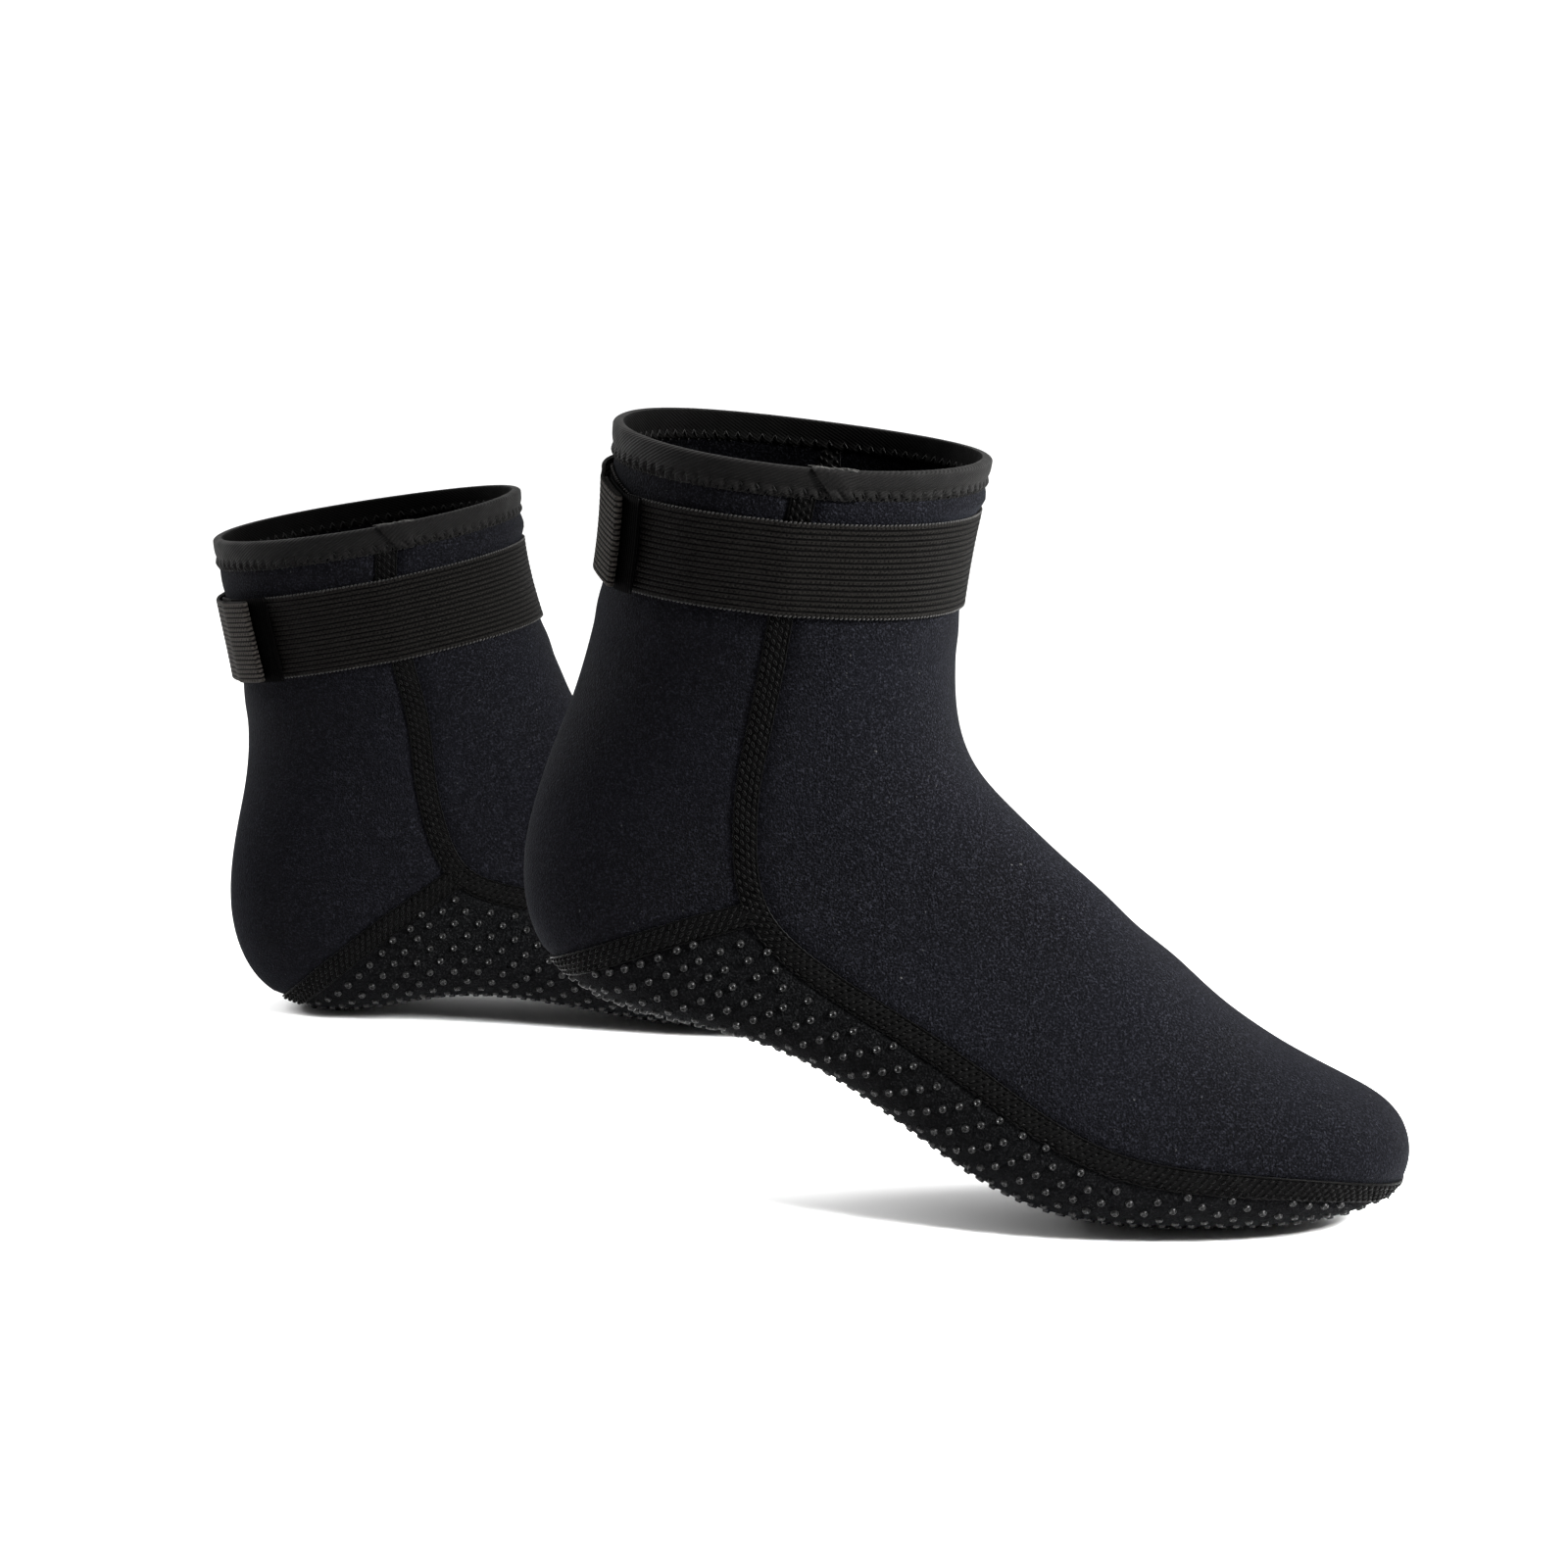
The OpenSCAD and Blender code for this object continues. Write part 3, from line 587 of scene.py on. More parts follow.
def add_flatlock(shape, track):
    """A low band, four columns of slanting stitches and a cord along each edge."""
    s = np.linspace(0, track.length, max(2, round(track.length / BAND_STEP)))
    p, along, side, up = track.at(s)
    rows = np.stack([p + side * c + up * (h - c * c / ROUND) for c, h in BAND], 1)
    add_sweep(shape, rows)
    for number, column in enumerate(COLUMNS):
        first = STITCH_PITCH * (0.5 if number % 2 else 1.0)
        s = np.arange(first, track.length, STITCH_PITCH)
        s = s + STRAY * np.sin(s * 1.7 + column)
        p, along, side, up = track.at(s)
        at = p + side * column + up * (COLUMN_HEIGHT - column**2 / ROUND)
        slant = math.radians(SLANT) + STRAY * np.sin(s * 2.9 + column)[:, None]
        x = along * np.cos(slant) + side * np.sin(slant)
        add_stamps(shape, FLATLOCK, at, x, up, material=1)
    s = np.linspace(0, track.length, max(2, round(track.length / CORD_STEP)))
    p, along, side, up = track.at(s)
    for c in EDGE_CORDS:
        sway = CORD_SWAY * np.sin(2 * math.pi * s / STITCH_PITCH)[:, None]
        line = p + side * (c + sway) + up * (CORD_HEIGHT - c * c / ROUND)
        add_tube(shape, line, CORD_RADIUS, 6, 1)


def seam_piece(boot, name, tracks):
    shape = Shape()
    for track in tracks:
        add_flatlock(shape, track)
    shape.piece(boot, name, "threads", ["seam_tape", "seam_thread"])


def seams(boot):
    """A seam down each side, sewn through, and one right round the sole, over heel and toe."""
    t = np.linspace(boot.down(BINDING_H - 1), PEAK, 300)
    inside = -boot.wall_at(t) + INSIDE_GROOVE
    for name, s in (("lateral_seam", 1), ("medial_seam", -1)):
        a = boot.front_angle(t, s)
        outside_track = surface_track(boot, t, a)
        inside_track = surface_track(boot, t, a, inside, inside=True)
        seam_piece(boot, name, [outside_track, inside_track])
    k = np.linspace(-1, 1, 200)[:-1]
    foot = foot_stations(700)[:-1]
    heel = heel_t(k)
    t = np.concatenate([heel, foot, [TOE], foot[::-1]])
    a = np.concatenate([
        boot.back_angle(heel, k), boot.outer_seam(foot), [0], -boot.inner_seam(foot[::-1]),
    ])
    seam_piece(boot, "sole_seam", [surface_track(boot, t, a)])


# ---- Binding ----

# How far the tape stands above the edge of the neoprene and beside it
BINDING_OVER, BINDING_SIDE = 0.7, 0.75
ROLL = [
    (
        0.4 - (0.4 + BINDING_OVER) * math.sin(math.radians(x)),
        (RIM_WALL / 2 + BINDING_SIDE) * math.cos(math.radians(x)) - RIM_WALL / 2,
    )
    for x in range(15, 180, 15)
]
# Distance down from the edge, distance out from the shell: outside, over the rim, inside, back
BINDING_OUT = [
    (8.1, -0.1), (8.0, 0.3), (7.6, 0.55), (7.0, 0.7), (6.4, 0.74), (5.8, 0.7), (5.2, 0.6),
    (4.8, 0.55), (4.4, 0.62), (3.8, 0.78), (3.0, 0.86), (2.2, 0.86), (1.4, 0.82), (0.9, 0.78),
]
BINDING_BACK = [
    (0.9, -2.8), (1.8, -2.9), (2.8, -3.0), (3.8, -3.0), (4.6, -2.95), (5.4, -3.05), (6.2, -3.2),
    (6.8, -3.1), (7.0, -2.8), (6.4, -2.1), (3.5, -1.8), (0.8, -1.6), (0.8, -0.4), (4.0, -0.4),
    (7.0, -0.3),
]
BINDING_STEP = 0.4
# The lapped end: half its length in degrees, its extra height and its lean
LAP_DEGREES, LAP_HEIGHT, LAP_LEAN = 3.5, 0.8, 0.9
BINDING_STITCH = 4.0
# Depth of the puckers, where they start and end, and depth of the edge's notches
PUCKER, PUCKER_SPAN = 0.95, (4.2, 8.4)
SCALLOP = 1.3
# Loose yarns at the lap, and the radius of one
FRAYS, FRAY_RADIUS = 40, 0.13
# The binding's zigzag, outside and inside: top, bottom, height above the shell, bend at its foot
ZIGZAGS = ((5.2, 8.2, 0.5, -0.4), (4.6, 7.3, -WALL - 0.1, 0.35))
ZIGZAG_RADIUS = 0.22


def girth(boot, t):
    """Millimetres round the shell at station t."""
    return lengths(boot.shell(t, np.arange(0, 361, 1.0))).sum()


def binding(boot):
    """Tape folded over the edge: smooth above, drawn in at each stitch and puffed between."""
    outline = np.array(BINDING_OUT + ROLL + BINDING_BACK)
    down, out = outline[:, 0][None], outline[:, 1][None]
    turn = np.arange(-LAP_DEGREES, 360 + LAP_DEGREES + 0.01, BINDING_STEP)[:, None]
    rim = girth(boot, 0.0)
    phase = turn * round(rim / BINDING_STITCH) / 360 + 0.12 * np.sin(turn / 9.0)
    pulled = (0.5 + 0.5 * np.cos(2 * math.pi * phase)) ** 3
    notch = (0.5 - 0.5 * np.cos(2 * math.pi * phase)) ** 10
    uneven = 1 + 0.3 * np.sin(turn / 3.7 + 1) * np.sin(turn / 11.0)
    sign = np.where(out > -RIM_WALL / 2, 1, -1)
    ends = smooth(360 - LAP_DEGREES * 2, 360 - LAP_DEGREES, turn)
    on_face = np.where((out > 0) | (out < -2.6), 1, 0)
    puff = (0.4 - pulled) * uneven * hump(down, *PUCKER_SPAN) * PUCKER
    out = out + sign * on_face * (puff + ends * LAP_HEIGHT)
    lean = ends * (4 - down) * LAP_LEAN
    crumple = 0.12 * np.sin(turn * 7.3 + down * 2.1) * smooth(352, 362, turn)
    down = down - SCALLOP * notch * uneven * smooth(6.4, 8.0, down) - 0.4 * ends * (down < 1)
    rows = boot.skin(boot.down(down), boot.near * (LAP + turn + lean), out + crumple)
    weave = np.stack(np.broadcast_arrays(turn * rim / 360, down), -1)
    shape = Shape()
    add_sweep(shape, rows, weave)
    # The faces inside the rim take a darker copy of the tape, without sheen: painted shade on its
    # inner turn
    inside = outline[:, 1] < -RIM_WALL
    shape.materials = [int(inside[i % len(inside)]) for i in range(len(shape.faces))]
    frayed_end(shape, boot)
    cloths = ["binding_tape", "binding_inside_painted_shade", "fray"]
    shape.piece(boot, "top_binding", "tape", cloths)


def frayed_end(shape, boot):
    """Loose yarns where the tape's cut end laps over its start."""
    random = np.random.default_rng(3)
    u = np.linspace(0, 1, 9)
    for start, reach, rise, phi in random.uniform(
        [-4, -6, 0.2, 0.2], [5, 6, 0.9, 1.7], (FRAYS, 4)
    ):
        radius = 1.8 + rise * u * (1.4 - u)
        turn = phi + 0.5 * reach / 6 * u
        t = boot.down(0.9 - radius * np.sin(turn))
        a = boot.near * (LAP + start + reach * u)
        add_tube(shape, boot.skin(t, a, radius * np.cos(turn) - 1.0), FRAY_RADIUS, 4, 2)


def binding_stitching(boot):
    """Zigzag thread over the tape's lower edge, outside and inside."""
    shape = Shape()
    count = round(girth(boot, 0.0) / BINDING_STITCH)
    u = np.linspace(0, count, count * 12 + 1)
    zigzag = np.abs((u % 1) * 2 - 1)
    a = boot.near * (LAP + 360 * u / count)
    for high, low, out, sag in ZIGZAGS:
        down = low + (high - low) * zigzag
        lift = out + sag * smooth(0.3, 0.0, zigzag)
        add_tube(shape, boot.skin(boot.down(down), a, lift), ZIGZAG_RADIUS, 6)
    shape.piece(boot, "binding_stitching", "zigzag", ["thread"])


# ---- Elastic strap ----

# The elastic's ribs: how many, points across one, depth of the grooves, most that an edge thins
RIBS, RIB_SAMPLES, RIB_DEPTH, EDGE_LOSS = 17, 5, 0.17, 0.42
# How far the strap rides up over a side seam, and how wide the rise is
SEAM_RISE, SEAM_RISE_WIDTH = 0.75, 5.5
# The small loops along the strap's edges
SELVEDGE_PITCH, SELVEDGE_LOOP = 1.3, capsule(1.05, 0.55, 0.5)
# The tail: its thickness and that of a layer where it is folded, degrees of elastic folded back
# inside it, where its back comes down to one layer, and degrees over which it bends when peeled
TAIL_TH, TAIL_LAYER = STRAP_TH * 0.95, STRAP_TH * 0.97
FLAP, FOLD_BACK, TAIL_BEND = 13, (12, 20), 22.0
# The hook tape, in degrees past the fold and behind it; it is this much wider than the strap
HOOK_SHOWS, HOOK_BEHIND = 9, 12
HOOK_PITCH, HOOK_WIDER, HOOK = 1.3, 0.5, capsule(0.55, 0.42, 0.5)
LOOP_INSET, LOOPS, LOOP = 2.0, 1400, capsule(1.1, 0.28, 0.34, 5, 4)
# The bar of zigzag stitches at each end: its place in degrees, width and number of zigzags
BARS, BAR_WIDTH, BAR_ZIGZAGS = (-154, 154), 2.6, 11


def degree(boot):
    """Millimetres round the shaft in one degree, at the strap."""
    return girth(boot, boot.down(boot.strap_drop + STRAP_W / 2)) / 360


def rib_profile(v, ribs, depth):
    """Half thickness lost across the width: a narrow groove between ribs, round edges."""
    place = (v * ribs) % 1
    groove = np.exp(-((np.minimum(place, 1 - place) / 0.15) ** 2))
    edge = np.maximum(0, 1 - np.minimum(v, 1 - v) * 2 * ribs / 1.2) ** 2
    return np.minimum(depth * groove + 0.24 * edge, EDGE_LOSS)


def add_tape(shape, boot, path, thickness, inset=0.0, ribs=RIBS, depth=RIB_DEPTH):
    """Tape along a path of (degrees, height) positions round the shaft."""
    scale = degree(boot)
    flat = path * [scale, 1]
    run = runs(flat)
    along = unit(np.gradient(flat, axis=0))
    out = np.stack([-along[:, 1] / scale, along[:, 0]], -1)
    v = np.linspace(0, 1, ribs * RIB_SAMPLES + 1)
    down = inset + v * (STRAP_W - 2 * inset)
    half = thickness / 2 - rib_profile(v, ribs, depth)[:, None]

    def side(sign):
        a = path[None, :, 0] + sign * half * out[None, :, 0]
        h = path[None, :, 1] + sign * half * out[None, :, 1]
        return boot.on_strap(a, down[:, None], h)

    weave = np.stack(np.broadcast_arrays(run[None], down[:, None]), -1)
    add_sheet(shape, side(1), side(-1), weave)


def seam_rise(boot, a):
    """The strap rides up over the two side seams."""
    t = boot.down(boot.strap_drop + STRAP_W / 2)
    at = {1: boot.outer_seam(t), -1: boot.inner_seam(t)}
    rise = np.zeros_like(a)
    for sign, seam in at.items():
        away = (a * boot.near - sign * seam) * degree(boot)
        rise += SEAM_RISE * np.exp(-((away / SEAM_RISE_WIDTH) ** 2))
    return rise


def ankle_strap(boot):
    a = np.arange(STRAP_SPAN[0], STRAP_SPAN[1] + 0.1, 1.0)
    height = STRAP_GAP + STRAP_TH / 2 + seam_rise(boot, a)
    shape = Shape()
    add_tape(shape, boot, np.stack([a, height], -1), STRAP_TH)
    # Each selvedge is a row of small loops of brighter yarn
    up = boot.normal(np.ones_like(a), boot.near * a)
    for down in (0.1, STRAP_W - 0.1):
        track = Track(boot.on_strap(a, down, height + STRAP_TH * 0.3), up)
        s = np.arange(1, track.length - 1, SELVEDGE_PITCH)
        p, along, side, out = track.at(s)
        x = unit(along + 0.45 * side)
        add_stamps(shape, SELVEDGE_LOOP, p, x, out, material=1)
    shape.piece(boot, "ankle_strap", "elastic", ["elastic", "selvedge"])


def tail_path(boot):
    """The tail's middle line: from the flap folded inside, round the fold and out to the root."""
    end = boot.tail_end
    flap = np.arange(end + FLAP, end + 1, -0.8)
    bend = np.radians(np.arange(-80, 81, 20))
    radius = TAIL_LAYER / 2
    nose = np.stack([
        end + 0.6 - np.cos(bend) * radius / degree(boot),
        TAIL_IN + TAIL_LAYER + radius * np.sin(bend),
    ], -1)
    back = np.arange(end + 1.4, TAIL_ROOT + 0.1, 1.0)
    rest = np.interp(back, [end + 14, TAIL_ROOT], [TAIL_IN, TAIL_GAP]) + STRAP_TH / 2
    over = TAIL_IN + TAIL_LAYER * 1.5
    height = over + (rest - over) * smooth(end + FOLD_BACK[0], end + FOLD_BACK[1], back)
    return np.concatenate([
        np.stack([flap, np.full_like(flap, TAIL_IN + radius)], -1), nose,
        np.stack([back, height], -1),
    ])


def strap_tail(boot):
    """The tail's elastic."""
    shape = Shape()
    add_tape(shape, boot, tail_path(boot), TAIL_TH)
    # The tail takes a lighter copy of the strap's elastic: painted light on its fold
    piece = shape.piece(boot, "strap_tail", "elastic", ["tail_elastic_painted_light"], body=None)
    ends = boot.on_strap(np.array([TAIL_ROOT, TAIL_ROOT - TAIL_BEND]), STRAP_W / 2, 1.0)
    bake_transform(piece)


def hook_patch(boot):
    """Hook tape sewn into the fold: its back shows past the fold, its hooks face the loops."""
    shape = Shape()
    end = boot.tail_end
    a = np.arange(end - HOOK_SHOWS, end + HOOK_BEHIND + 0.1, 0.5)
    path = np.stack([a, np.full_like(a, HOOK_IN + HOOK_TH / 2)], -1)
    add_tape(shape, boot, path, HOOK_TH, inset=-HOOK_WIDER, ribs=2, depth=0.0)
    down = np.arange(HOOK_PITCH, STRAP_W, HOOK_PITCH) - HOOK_WIDER
    aa, dd = (x.ravel() for x in np.meshgrid(np.arange(end - 7.5, end + 11, 1.5), down))
    at = boot.on_strap(aa, dd, HOOK_IN + 0.03)
    up = unit(at - boot.on_strap(aa, dd, HOOK_IN + 1))
    x = unit(np.cross(up, [0.2, 0.1, 1.0]))
    add_stamps(shape, HOOK, at, x, up, material=1)
    # The tape's sealed edge. It and the hooks take a lighter colour than the tape's back: painted
    # glints
    edge = np.linspace(0.3 - HOOK_WIDER, STRAP_W + HOOK_WIDER - 0.3, 60)
    add_tube(shape, boot.on_strap(end - 8.7, edge, HOOK_IN + HOOK_TH / 2), 0.3, 6, 1)
    shape.piece(boot, "hook_patch", "tape", ["hook_tape", "hooks_and_edge_painted_glint"], "tail")


def loop_patch(boot):
    """Napped tape with fine loops standing on it."""
    shape = Shape()
    a = np.arange(boot.tail_end - 8, STRAP_SPAN[1] - 1.9, 1.0)
    path = np.stack([a, STRAP_OUT + LOOP_TH / 2 + seam_rise(boot, a)], -1)
    add_tape(shape, boot, path, LOOP_TH, inset=LOOP_INSET, ribs=2, depth=0.0)
    random = np.random.default_rng(5)
    aa = random.uniform(a[0] + 0.8, a[-1] - 0.8, LOOPS)
    dd = random.uniform(LOOP_INSET + 0.6, STRAP_W - LOOP_INSET - 0.6, LOOPS)
    at = boot.on_strap(aa, dd, LOOP_OUT)
    up = unit(boot.on_strap(aa, dd, LOOP_OUT + 1) - at)
    x = unit(np.cross(up, random.normal(size=(LOOPS, 3))))
    add_stamps(shape, LOOP, at, x, up, material=1)
    shape.piece(boot, "loop_patch", "nap", ["loop_tape", "loop_pile"])


def strap_stitching(boot):
    """A bar of zigzag stitches at each end of the fixed elastic."""
    shape = Shape()
    v = np.linspace(0, 1, 160)
    zigzag = np.abs((v * BAR_ZIGZAGS % 1) * 2 - 1) - 0.5
    down = 1.2 + v * (STRAP_W - 2.4)
    for bar in BARS:
        line = boot.on_strap(bar + BAR_WIDTH * zigzag, down, STRAP_OUT - 0.02)
        add_tube(shape, line, 0.3, 6)
    shape.piece(boot, "strap_stitching", "bar", ["thread"])


# ---- Grip dots ----

ROW_STEP = DOT_PITCH / math.sqrt(2)
EDGE_ROOM = SEAM_W / 2 + DOT_D / 2
# Columns either side of the sole's middle, and rows, that the lattice is measured on
HALF_COLUMNS, LATTICE_ROWS = 12, 40
# A moulded dome with a dimple on top: radius, height
DOME = [
    (1.14, -0.35), (1.12, -0.02), (1.08, 0.28), (0.99, 0.56), (0.86, 0.74), (0.72, 0.8),
    (0.56, 0.7), (0.4, 0.48), (0.2, 0.36),
]


def dot_positions(boot):
    """Positions t, a of a square lattice at 45 degrees, on the sole's flat length and girth."""

    def sole(t, s):
        return boot.flat(t, boot.back_angle(t, s))

    s = np.arange(-HALF_COLUMNS, HALF_COLUMNS + 1) / HALF_COLUMNS
    r = np.arange(LATTICE_ROWS + 1)[:, None] / LATTICE_ROWS
    t = heel_t(s) + (TOE - heel_t(s)) * r
    x = sole(t, s)[..., 0]
    line = np.arange(-2 * HALF_COLUMNS, 2 * HALF_COLUMNS + 1) / (2 * HALF_COLUMNS)
    heel_line = sole(heel_t(line), line)
    found = []
    for i in range(1, int(OUTLINES[boot.side][TOE][0] / ROW_STEP) + 1):
        length = i * ROW_STEP
        t_row = np.array([np.interp(length, x[:, k], t[:, k]) for k in range(len(s))])
        run = runs(sole(t_row, s))
        centre, total = run[HALF_COLUMNS], run[-1]
        last = math.floor((total - EDGE_ROOM) / (2 * ROW_STEP))
        for j in range(-last, last + 1):
            g = 2 * ROW_STEP * (j + (0 if i % 2 == 0 else 0.5))
            s_dot = np.interp(g, run - centre, s)
            t_dot = np.interp(s_dot, s, t_row)
            start = sole(heel_t(s_dot), s_dot)[..., 0]
            room = np.linalg.norm(heel_line - sole(t_dot, s_dot), axis=1).min()
            within = EDGE_ROOM - centre < g < total - centre - EDGE_ROOM
            if within and length > start and room > EDGE_ROOM:
                found.append((t_dot, float(boot.back_angle(t_dot, s_dot))))
    return np.array(found)


def grip_dots(boot):
    """Tread dots carry the boot and point straight down; the others stand out from the sole."""
    t, a = dot_positions(boot).T
    at = boot.shell(t, a)
    tread = at[:, 2] < 2 * DOT_H
    up = boot.normal(t, a)
    x = unit(np.cross(up, [0.0, 1.0, 0.2]))
    dome = revolved(DOME, 14)
    for name, chosen in (("tread_dots", tread), ("grip_dots", ~tread)):
        shape = Shape()
        up_here = up[chosen]
        if name == "tread_dots":
            up_here = np.broadcast_to([0.0, 0.0, -1.0], up_here.shape)
        x_here = unit(np.cross(up_here, np.cross(x[chosen], up_here)) * -1)
        add_stamps(shape, dome, at[chosen], x_here, up_here)
        if name == "tread_dots":
            points = shape.points[0]
            points[:, 2] = np.maximum(points[:, 2], 0)
        shape.piece(boot, name, "domes", ["grip_rubber"])


# ---- Materials ----


def add_node(tree, kind, inputs=None, **settings):
    """A node with its settings, its inputs linked to sockets or given values."""
    node = tree.nodes.new(kind)
    for key, value in settings.items():
        setattr(node, key, value)
    for key, value in (inputs or {}).items():
        if isinstance(value, bpy.types.NodeSocket):
            tree.links.new(value, node.inputs[key])
        else:
            node.inputs[key].default_value = value
    return node


MATERIALS = {}
# The Mix node's sockets for colours
MIX_A, MIX_B, MIX_RESULT = 6, 7, 2


class Nodes:
    """A material with a Principled shader, and short ways to add nodes to it."""

    def __init__(self, name, **sockets):
        self.material = bpy.data.materials.new(name)
        self.material.use_nodes = True
        MATERIALS[name] = self.material
        self.tree = self.material.node_tree
        self.shader = self.tree.nodes["Principled BSDF"]
        for socket, value in sockets.items():
            self.shader.inputs[socket.replace("_", " ")].default_value = value
        self.object = self.add("ShaderNodeTexCoord").outputs["Object"]
        self.weave = self.add("ShaderNodeAttribute", attribute_name="weave").outputs["Vector"]

    def add(self, kind, inputs=None, **settings):
        return add_node(self.tree, kind, inputs, **settings)

    def noise(self, size, detail=2.0, roughness=0.5):
        """Cloudy noise whose features are about size metres."""
        inputs = {
            "Vector": self.object, "Scale": 1 / size, "Detail": detail, "Roughness": roughness,
        }
        return self.add("ShaderNodeTexNoise", inputs).outputs["Fac"]

    def cells(self, size):
        """Round bumps about size metres apart."""
        inputs = {"Vector": self.object, "Scale": 1 / size}
        return self.add("ShaderNodeTexVoronoi", inputs).outputs["Distance"]

    def waves(self, pitch, degrees=0.0):
        """Stripes across the weave coordinates, one each pitch metres."""
        turn = {"Vector": self.weave, "Rotation": (0, 0, math.radians(degrees))}
        turned = self.add("ShaderNodeMapping", turn).outputs["Vector"]
        inputs = {"Vector": turned, "Scale": 2 * math.pi / (20 * pitch)}
        return self.add("ShaderNodeTexWave", inputs).outputs["Fac"]

    def range(self, value, low, high, to_low, to_high):
        """The value moved from one range to another and kept within it."""
        inputs = {
            "Value": value, "From Min": low, "From Max": high, "To Min": to_low, "To Max": to_high,
        }
        return self.add("ShaderNodeMapRange", inputs).outputs["Result"]

    def math(self, operation, a, b):
        return self.add("ShaderNodeMath", {0: a, 1: b}, operation=operation).outputs[0]

    def blend(self, factor, a, b):
        """Colour a where the factor is 0, b where it is 1."""
        inputs = {0: factor, MIX_A: a, MIX_B: b}
        return self.add("ShaderNodeMix", inputs, data_type="RGBA").outputs[MIX_RESULT]

    def link(self, socket, value):
        self.tree.links.new(value, self.shader.inputs[socket])

    def color(self, value):
        self.link("Base Color", value)

    def roughness(self, value):
        self.link("Roughness", value)

    def bump(self, height, depth):
        """Raises the surface by up to depth metres where height is 1."""
        inputs = {"Height": height, "Distance": depth, "Strength": 1.0}
        self.link("Normal", self.add("ShaderNodeBump", inputs).outputs["Normal"])


def gray(value, warm=1.0, cool=1.0):
    return (value * warm, value, value * cool, 1)


# In every material base is a linear gray, warm and cool tint it, sheen is a weight and level is
# the specular level. Sizes are in metres.


def cloth(name, sheen, sheen_roughness, sheen_tint, level):
    return Nodes(
        name, Sheen_Weight=sheen, Sheen_Roughness=sheen_roughness, Sheen_Tint=(*sheen_tint, 1),
        Specular_IOR_Level=level,
    )


def knit(name, base, cool, sheen, level):
    """Jersey laminated to foam: fine stitches, paler flecks, slow changes of shade."""
    m = cloth(name, sheen, 0.42, (0.72, 0.8, 1.0), level)
    flecks = m.range(m.noise(0.00062, 2.0, roughness=0.7), 0.5, 0.7, 0, 1)
    shade = m.range(m.noise(0.035, 2.0), 0.3, 0.7, 0, 1)
    deep = m.blend(shade, gray(base * 0.6, 1.0, cool), gray(base * 0.9, 0.96, cool * 1.06))
    worn = m.blend(flecks, deep, gray(base * 5.2, 0.97, cool))
    lint = m.range(m.noise(0.0011, 1.0), 0.77, 0.82, 0, 1)
    m.color(m.blend(lint, worn, gray(base * 16)))
    m.roughness(m.range(shade, 0, 1, 0.72, 0.84))
    loops = m.math("ADD", m.cells(0.0006), m.math("MULTIPLY", m.noise(0.0016, 3.0), 0.8))
    m.bump(loops, 0.0003)


def elastic(name, base, warm, sheen):
    """Woven elastic: yarns that slant both ways over the ribs, grooves between darkened with
    painted shade, fuzz.
    """
    m = cloth(name, sheen, 0.4, (1.0, 0.96, 0.9), level=0.02)
    pitch, slant = 0.00105, 35
    # rib is low in the grooves between the ribs and darkens the colour there: painted shade
    rib = m.range(m.waves(STRAP_W / RIBS * MM, 90), 0.06, 0.55, 0, 1)
    weaker = m.math("MULTIPLY", m.waves(pitch, -slant), 0.8)
    twill = m.math("MAXIMUM", m.waves(pitch, slant), weaker)
    fuzz = m.range(m.noise(0.0008, 3.0, roughness=0.7), 0.4, 0.72, 0, 1)
    light = m.math("MULTIPLY", rib, m.math("ADD", twill, fuzz))
    m.color(m.blend(light, gray(base * 0.25, warm, 0.94), gray(base * 4.2, warm, 0.9)))
    m.roughness(m.range(twill, 0, 1, 0.82, 0.6))
    m.bump(m.math("ADD", m.math("MULTIPLY", rib, 1.4), light), 0.0003)


def tape(name, base, warm, pitch, sheen, rough=0.7, level=0.06):
    """Stretch tape or seam cover: fine slanting wales."""
    m = cloth(name, sheen, 0.4, (1.0, 0.97, 0.93), level)
    wales = m.waves(pitch, 62)
    worn = m.range(m.noise(0.006, 3.0), 0.35, 0.75, 0, 1)
    plain = m.blend(worn, gray(base * 0.8, warm, 0.96), gray(base * 1.3, warm, 0.94))
    m.color(m.blend(wales, plain, gray(base * 2.0, warm, 0.93)))
    m.roughness(m.range(worn, 0, 1, rough + 0.1, rough - 0.05))
    m.bump(m.math("ADD", wales, m.noise(0.0005, 2.0)), 0.00012)


def yarn(name, base, warm, rough, level, sheen):
    """Twisted thread: its shade changes from stitch to stitch, with fine strands."""
    m = cloth(name, sheen, 0.35, (1.0, 0.98, 0.95), level)
    strands = m.noise(0.00045, 2.0)
    each = m.range(m.noise(0.0024, 1.0), 0.35, 0.7, 0, 1)
    plain = m.blend(each, gray(base * 0.55, warm, 0.96), gray(base * 1.9, warm, 0.95))
    m.color(m.blend(strands, plain, gray(base * 2.2, warm, 0.95)))
    m.roughness(m.range(each, 0, 1, rough + 0.1, rough - 0.08))
    m.bump(strands, 0.0001)


def rubber(name):
    """Moulded grip dots: glossy with faint flow marks."""
    m = Nodes(name, Specular_IOR_Level=0.12, Coat_Weight=0.08, Coat_Roughness=0.2)
    marks = m.range(m.noise(0.0018, 3.0), 0.35, 0.7, 0, 1)
    m.color(m.blend(marks, gray(0.002), gray(0.005)))
    m.roughness(m.range(marks, 0, 1, 0.3, 0.45))
    m.bump(m.noise(0.0007, 2.0), 0.00006)


def nylon(name, base, rough, level):
    """Smooth woven back of hook tape, ridged along its length."""
    m = Nodes(name, Specular_IOR_Level=level)
    ridges = m.waves(0.0009)
    dust = m.range(m.noise(0.0014, 3.0, roughness=0.8), 0.6, 0.82, 0, 1)
    m.color(m.blend(dust, gray(base), gray(base * 3)))
    m.roughness(m.range(dust, 0, 1, rough, rough + 0.25))
    m.bump(m.math("ADD", ridges, m.noise(0.0006, 2.0)), 0.00012)


